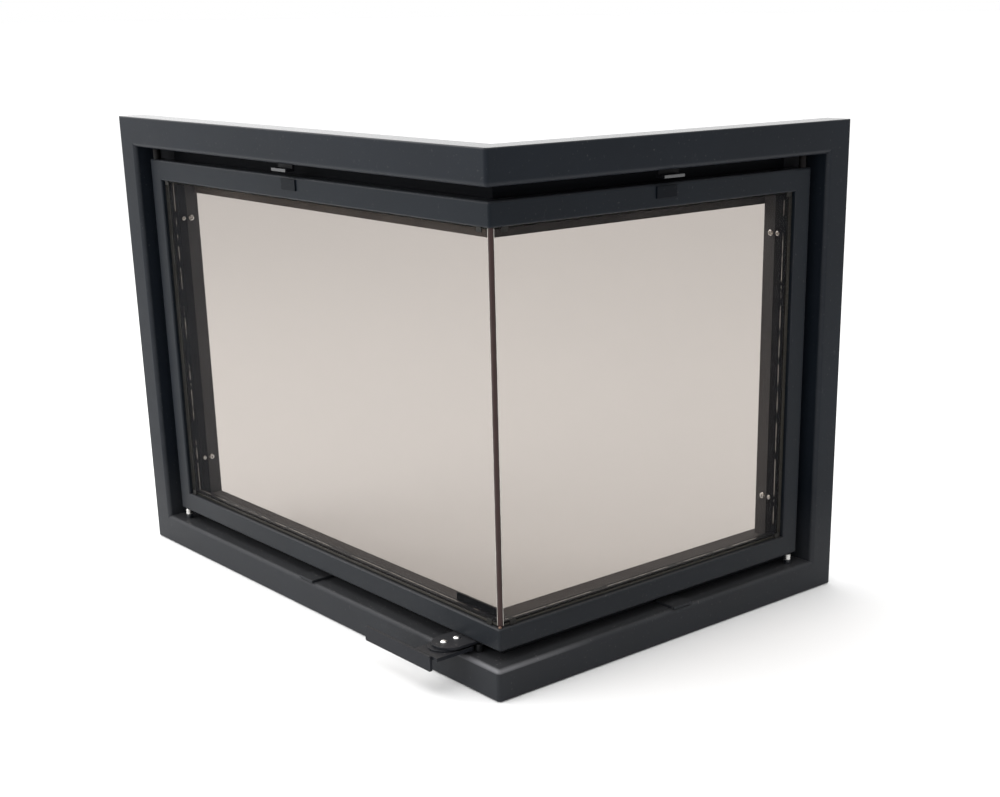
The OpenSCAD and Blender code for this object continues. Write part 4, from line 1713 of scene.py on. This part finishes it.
@dataclass
class Leaf:
    """The turning leaf: its frame, panes, seals and the plates on it.

    Attributes:
        shop: What it is built with.
        radius: Radius of the tube's edges at the panes.
        outer_radius: Radius of the tube's outer edges.
        corner_radius: Radius of the ground corner edge.
        arris: Ground arris of the panes.
        lip: Width of the glazing strips' lip.
        rope: Thickness of the rope behind the panes.
        rope_pitch: Length of one repeat of the rope's braid.
        tape: Width and thickness of the tape that meets the stop bars.
        tape_pitch: Length of one repeat of the tape's braid.
        strip_back: How far behind the seal's CAD front the silicone starts.
        strip_chamfer: Chamfer of the silicone strip.
        weld: Width of the welds.
        weld_seed: Seed of the welds' ripples.
    """

    shop: Shop
    radius: float = 1.9
    outer_radius: float = 2.5
    corner_radius: float = 3.0
    arris: float = 0.40
    lip: float = 3.0
    rope: float = 1.5
    rope_pitch: float = 3.2
    tape: tuple[float, float] = (7.4, 4.6)
    tape_pitch: float = 5.6
    strip_back: float = 0.4
    strip_chamfer: float = 1.9
    weld: float = 2.4
    weld_seed: int = 17

    def build(self) -> None:
        """Builds and dresses the leaf."""
        sizes, palette, bench = self.shop.sizes, self.shop.palette, self.shop.benches[Body.LEAF]
        outline = TubeOutline(
            sizes.leaf_width, sizes.leaf_front, sizes.leaf_back, self.radius, self.outer_radius
        )
        ends = (sizes.leaf_end, sizes.leaf_bottom, sizes.leaf_top)
        frame = TubeFrame(outline, *ends, self.corner_radius, False)
        frame.build(self.shop, Body.LEAF, palette.leaf, Slot.LEAF_PAINT)
        for kind in ("hinge_block", "rest_block"):
            for level in ("lower", "upper"):
                bench.from_node(f"{kind}_{level}", palette.leaf, Slot.LEAF_PAINT, 0)
        self._panes()
        self._corner_seal()
        self._seals()
        bench.from_node("glass_clips", palette.clip, Slot.ZINC_PLATE, 0.15)
        bench.from_node("corner_plate", palette.corner_plate, Slot.LEAF_PAINT, 0.3)
        # the wear plates' darker paint is painted shadow
        bench.from_node("wear_plates", palette.wear_plate, Slot.LEAF_PAINT, 0.3)
        bench.from_node("latch_bracket", palette.latch, Slot.HANDLE_PAINT, 0.45)
        self.shop.fit_rivet("latch_stop_rivet", shank=5.0, tail=5.0, body=Body.LEAF, seed=2)
        self._welds()

    def _panes(self) -> None:
        """Builds the two panes, whose edges are ground; the edges that face the corner take a painted
        highlight and the other edges painted shade.
        """
        palette, bench = self.shop.palette, self.shop.benches[Body.LEAF]
        glass = (palette.pane, palette.shaded_glass_edge, palette.lit_glass_edge)
        for face in Face:
            node = f"glass_{face.value}"
            edging = Edging(self.arris, 1, flat=True)
            pane = bench.piece(f"{node}_pane", node_copy(node), glass, Slot.GLASS, [node], edging)
            across, along = face.direction(0, 1, 0), face.direction(1, 0, 0)
            for polygon in pane.data.polygons:
                facing, side = polygon.normal.dot(across), polygon.normal.dot(along)
                # Faces across the pane take the glass, edges facing the corner the painted highlight, the
                # other edges the painted shade.
                polygon.material_index = 0 if abs(facing) > 0.9 else 1 + int(side < -0.5)

    def _corner_seal(self) -> None:
        """Builds the silicone strip between the panes, with the waves of its tooling."""
        sizes, palette, bench = self.shop.sizes, self.shop.palette, self.shop.benches[Body.LEAF]
        node = "glass_corner_seal"
        low, high = node_box(node)
        back = high.y + sizes.near
        front = low.y + sizes.near + self.strip_back
        rings = []
        count = int((high.z - low.z) / 3.0)
        for step in range(count + 1):
            z = low.z + (high.z - low.z) * step / count
            start = front + 0.10 + 0.10 * math.sin(z * 0.071) * math.sin(z * 0.193 + 1.0)
            cut = self.strip_chamfer + 0.25 * math.sin(z * 0.113)
            ring = [
                (start + cut, start),
                (back, start),
                (back, back),
                (start, back),
                (start, start + cut),
                (start + cut * 0.36, start + cut * 0.36),
            ]
            rings.append([Face.LEFT.place(u, v, z) for u, v in ring])
        mesh = swept("corner_seal", rings, [0.0] * len(rings[0]))
        edging = Edging(0.25, 2, 25)
        bench.piece(f"{node}_strip", mesh, [palette.silicone], Slot.SILICONE, [node], edging)
        self._glue_drop(front, sizes.leaf_bottom + sizes.leaf_width)

    def _glue_drop(self, front: float, floor: float) -> None:
        """Adds the drop of adhesive that was pressed out at the strip's foot.

        Args:
            front: Depth of the strip's front, on both faces.
            floor: Height of the rail that it lies on.
        """
        reach, height, steps = 1.6, 2.1, 8
        profile = [(0.0, 0.0)]
        for step in range(steps):
            turn = 0.5 * math.pi * step / steps
            swell = 1 + 0.12 * math.sin(5 * turn)
            profile.append((reach * math.cos(turn) * swell, height * math.sin(turn) + 0.02))
        profile.append((0.0, height + 0.05))
        drop = lathed("drop", profile, 24)
        drop.transform(Matrix.Translation(Face.LEFT.place(front - 0.4, front - 0.4, floor)))
        glue = [self.shop.palette.glue]
        self.shop.benches[Body.LEAF].piece("adhesive_drop", drop, glue, Slot.SILICONE, [], Edging())

    def _seals(self) -> None:
        """Lays the braided seals and the glazing strips."""
        sizes, palette, bench = self.shop.sizes, self.shop.palette, self.shop.benches[Body.LEAF]
        rail = sizes.leaf_width + self.lip / 2
        rope_depth = node_box("glazing_strips_left")[0].y + sizes.near - self.rope / 2
        tape_depth = sizes.leaf_back + 0.05 + self.tape[1] / 2
        low, high = node_box("leaf_seal_tape")
        tape_inset = 4.0
        tapes = []
        for face, length in sizes.lengths.items():
            bench.from_node(f"glazing_strips_{face.value}", palette.strip, Slot.LEAF_PAINT, 0.3)
            node = f"glazing_rope_{face.value}"
            side = length - sizes.clear_end - self.lip / 2
            run = self._loop(rope_depth, side, sizes.leaf_bottom + rail, sizes.leaf_top - rail)
            size = (self.lip, self.rope)
            lay = self.shop.braids.lay
            rope = lay(f"{node}_braid", face, run, size, self.rope_pitch, palette.fibre)
            bench.tie(rope, Slot.SEAL, [node])
            side = length - sizes.jamb_end + tape_inset
            run = self._loop(tape_depth, side, low.z + tape_inset, high.z - tape_inset)
            name = f"leaf_seal_tape_{face.value}"
            tapes.append(lay(name, face, run, self.tape, self.tape_pitch, palette.tape))
        for tape in tapes:
            bench.tie(tape, Slot.SEAL, ["leaf_seal_tape"])

    def _loop(self, depth: float, side: float, low: float, high: float) -> list[Place]:
        """Line of a seal round one face, from the corner out to its side and back."""
        return [(depth, depth, low), (side, depth, low), (side, depth, high), (depth, depth, high)]

    def _welds(self) -> None:
        """Lays the welds of the latch bracket."""
        sizes = self.shop.sizes
        low, high = node_box("latch_bracket")
        beside, above, front_inset, back_inset = 0.6, 0.2, 4.0, 3.0
        depths = (sizes.leaf_front + front_inset, sizes.leaf_back - back_inset)
        z = sizes.leaf_bottom + above
        runs = []
        for side in (sizes.near - low.x + beside, sizes.near - high.x - beside):
            runs.append([Face.LEFT.place(side, depth, z) for depth in depths])
        weld, seed = self.shop.palette.weld, self.weld_seed
        beads = self.shop.welds.lay("leaf_welds", runs, self.weld, weld, seed)
        self.shop.benches[Body.LEAF].tie(beads, Slot.LEAF_PAINT)


@dataclass
class Handle:
    """The latch lever with its grip plate, rivet and washer.

    Attributes:
        shop: What it is built with.
        edge: Broken edge of its sheets.
    """

    shop: Shop
    edge: float = 0.45

    def build(self) -> None:
        """Builds and dresses the lever."""
        bench, finish = self.shop.benches[Body.HANDLE], self.shop.palette.latch
        for node in ("handle_arm", "handle_grip_plate", "handle_friction_washer"):
            bench.from_node(node, finish, Slot.HANDLE_PAINT, self.edge)
        low, high = node_box("handle_pivot_rivet")
        tail = high.x - low.x - 0.6
        self.shop.fit_rivet("handle_pivot_rivet", shank=5.0, tail=tail, body=Body.HANDLE, seed=4)


# ------------------------------------------------------------------ the studio


@dataclass(frozen=True)
class Sight:
    """The camera, at the photograph's place.

    Attributes:
        place: Its place, in metres.
        azimuth: Degrees that it has turned from looking along Y.
        elevation: Degrees that it looks down.
        roll: Degrees that it leans.
        focal: Focal length, in pixels of the photograph.
        centre: Pixel that its axis goes through.
    """

    place: Place = (1.1247, -0.8933, 0.6519)
    azimuth: float = 49.17
    elevation: float = 18.62
    roll: float = -0.67
    focal: float = 1546.06
    centre: tuple[float, float] = (558.71, 535.06)

    def build(self) -> None:
        """Makes the camera and gives it to the scene."""
        turn, fall, lean = (math.radians(a) for a in (self.azimuth, self.elevation, self.roll))
        ahead = Vector(
            (-math.sin(turn) * math.cos(fall), math.cos(turn) * math.cos(fall), -math.sin(fall))
        )
        side = Vector((math.cos(turn), math.sin(turn), 0.0))
        up = side.cross(ahead)
        right = side * math.cos(lean) + up * math.sin(lean)
        above = up * math.cos(lean) - side * math.sin(lean)
        data = bpy.data.cameras.new("photograph_camera")
        width, height = PHOTO_SIZE
        data.sensor_fit = "HORIZONTAL"
        data.sensor_width = 36.0
        data.lens = self.focal / width * data.sensor_width
        data.shift_x = (width / 2 - self.centre[0]) / width
        data.shift_y = (self.centre[1] - height / 2) / width
        data.clip_start = 0.05
        data.clip_end = 1000.0
        camera = placed_object("photograph_camera", data)
        turned = Matrix((right, above, -ahead)).transposed().to_4x4()
        camera.matrix_world = Matrix.Translation(self.place) @ turned
        bpy.context.scene.camera = camera


@dataclass(frozen=True)
class Softbox:
    """One soft studio light.

    Attributes:
        name: Its name.
        place: Its place, in metres.
        aim: The point that it looks at.
        size: Its width and height.
        power: Its power, in watts.
    """

    name: str
    place: Place
    aim: Place
    size: tuple[float, float]
    power: float

    def build(self) -> None:
        """Makes the light."""
        data = bpy.data.lights.new(self.name, "AREA")
        data.shape = "RECTANGLE"
        data.size, data.size_y = self.size
        data.energy = self.power
        light = placed_object(self.name, data)
        light.location = self.place
        aim = Vector(self.aim) - Vector(self.place)
        light.rotation_euler = aim.to_track_quat("-Z", "Y").to_euler()


@dataclass(frozen=True)
class Studio:
    """The floor, the pale surround and the lights.

    Attributes:
        floor_reach: Half of the floor's side, in metres.
        floor_level: Height of the floor, in metres, just under the casing.
        ambient: Strength of the surround on its bright side.
        dim: Strength of the surround opposite.
        bright_side: Direction of the bright side.
        lights: The soft lights.
    """

    floor_reach: float = 300.0
    floor_level: float = -0.0006
    ambient: float = 1.75
    dim: float = 0.15
    bright_side: Place = (-0.62, -0.45, 0.64)
    lights: tuple[Softbox, ...] = (
        Softbox("key_left", (-1.3, -2.9, 1.5), (-0.3, 0.0, 0.25), (2.2, 1.6), 34.0),
        Softbox("rim_left", (-2.5, -0.9, 2.1), (-0.3, 0.1, 0.2), (0.9, 0.9), 14.0),
        Softbox("overhead", (-0.2, -0.2, 2.8), (-0.25, 0.1, 0.0), (2.2, 2.2), 22.0),
    )

    def build(self) -> None:
        """Makes the studio."""
        signs = ((-1, -1), (1, -1), (1, 1), (-1, 1))
        corners = [(x * self.floor_reach, y * self.floor_reach, self.floor_level) for x, y in signs]
        mesh = bpy.data.meshes.new("studio_floor")
        mesh.from_pydata(corners, [], [(0, 1, 2, 3)])
        mesh.materials.append(StudioFloor("studio_floor_pale").material())
        placed_object("studio_floor", mesh)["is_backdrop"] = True
        self._surround()
        for light in self.lights:
            light.build()

    def _surround(self) -> None:
        """Makes the world: bright on one side, and plain white where the camera sees it."""
        world = bpy.data.worlds.new("studio_surround")
        world.use_nodes = True
        sheet = Sheet(world.node_tree)
        way = sheet.wire("ShaderNodeTexCoord", output="Generated")
        lean = sheet.vector("DOT_PRODUCT", {0: way, 1: self.bright_side}, 1)
        shade = self.dim + (self.ambient - self.dim) * (0.5 + lean * 0.5)
        seen = sheet.wire("ShaderNodeLightPath", output="Is Camera Ray")
        glow = {0: (1.0, 1.0, 1.0, 1.0), 1: shade + seen * (1.0 - shade)}
        sheet.node("ShaderNodeOutputWorld", {0: sheet.wire("ShaderNodeBackground", glow)})
        scene = bpy.context.scene
        scene.world = world
        scene.view_settings.view_transform = "Standard"


def main() -> None:
    """Builds the camera, the studio and the door."""
    logging.basicConfig(level=logging.INFO, format="%(name)s: %(message)s")
    Sight().build()
    cad_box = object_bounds()
    Studio().build()
    benches = {body: Bench(body) for body in Body}
    shop = Shop(DoorSizes.read(), Palette(), benches, FastenerTree(), WeldTree(), BraidTree())
    for assembly in (Casing(shop), Surround(shop), Leaf(shop), Handle(shop)):
        assembly.build()
        LOG.info("%s is built", type(assembly).__name__)
    LOG.info("%d pieces", sum(bench.made for bench in benches.values()))
    boxes = [[list(corner) for corner in box] for box in (cad_box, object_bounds())]


if __name__ == "__main__":
    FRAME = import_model()
    main()
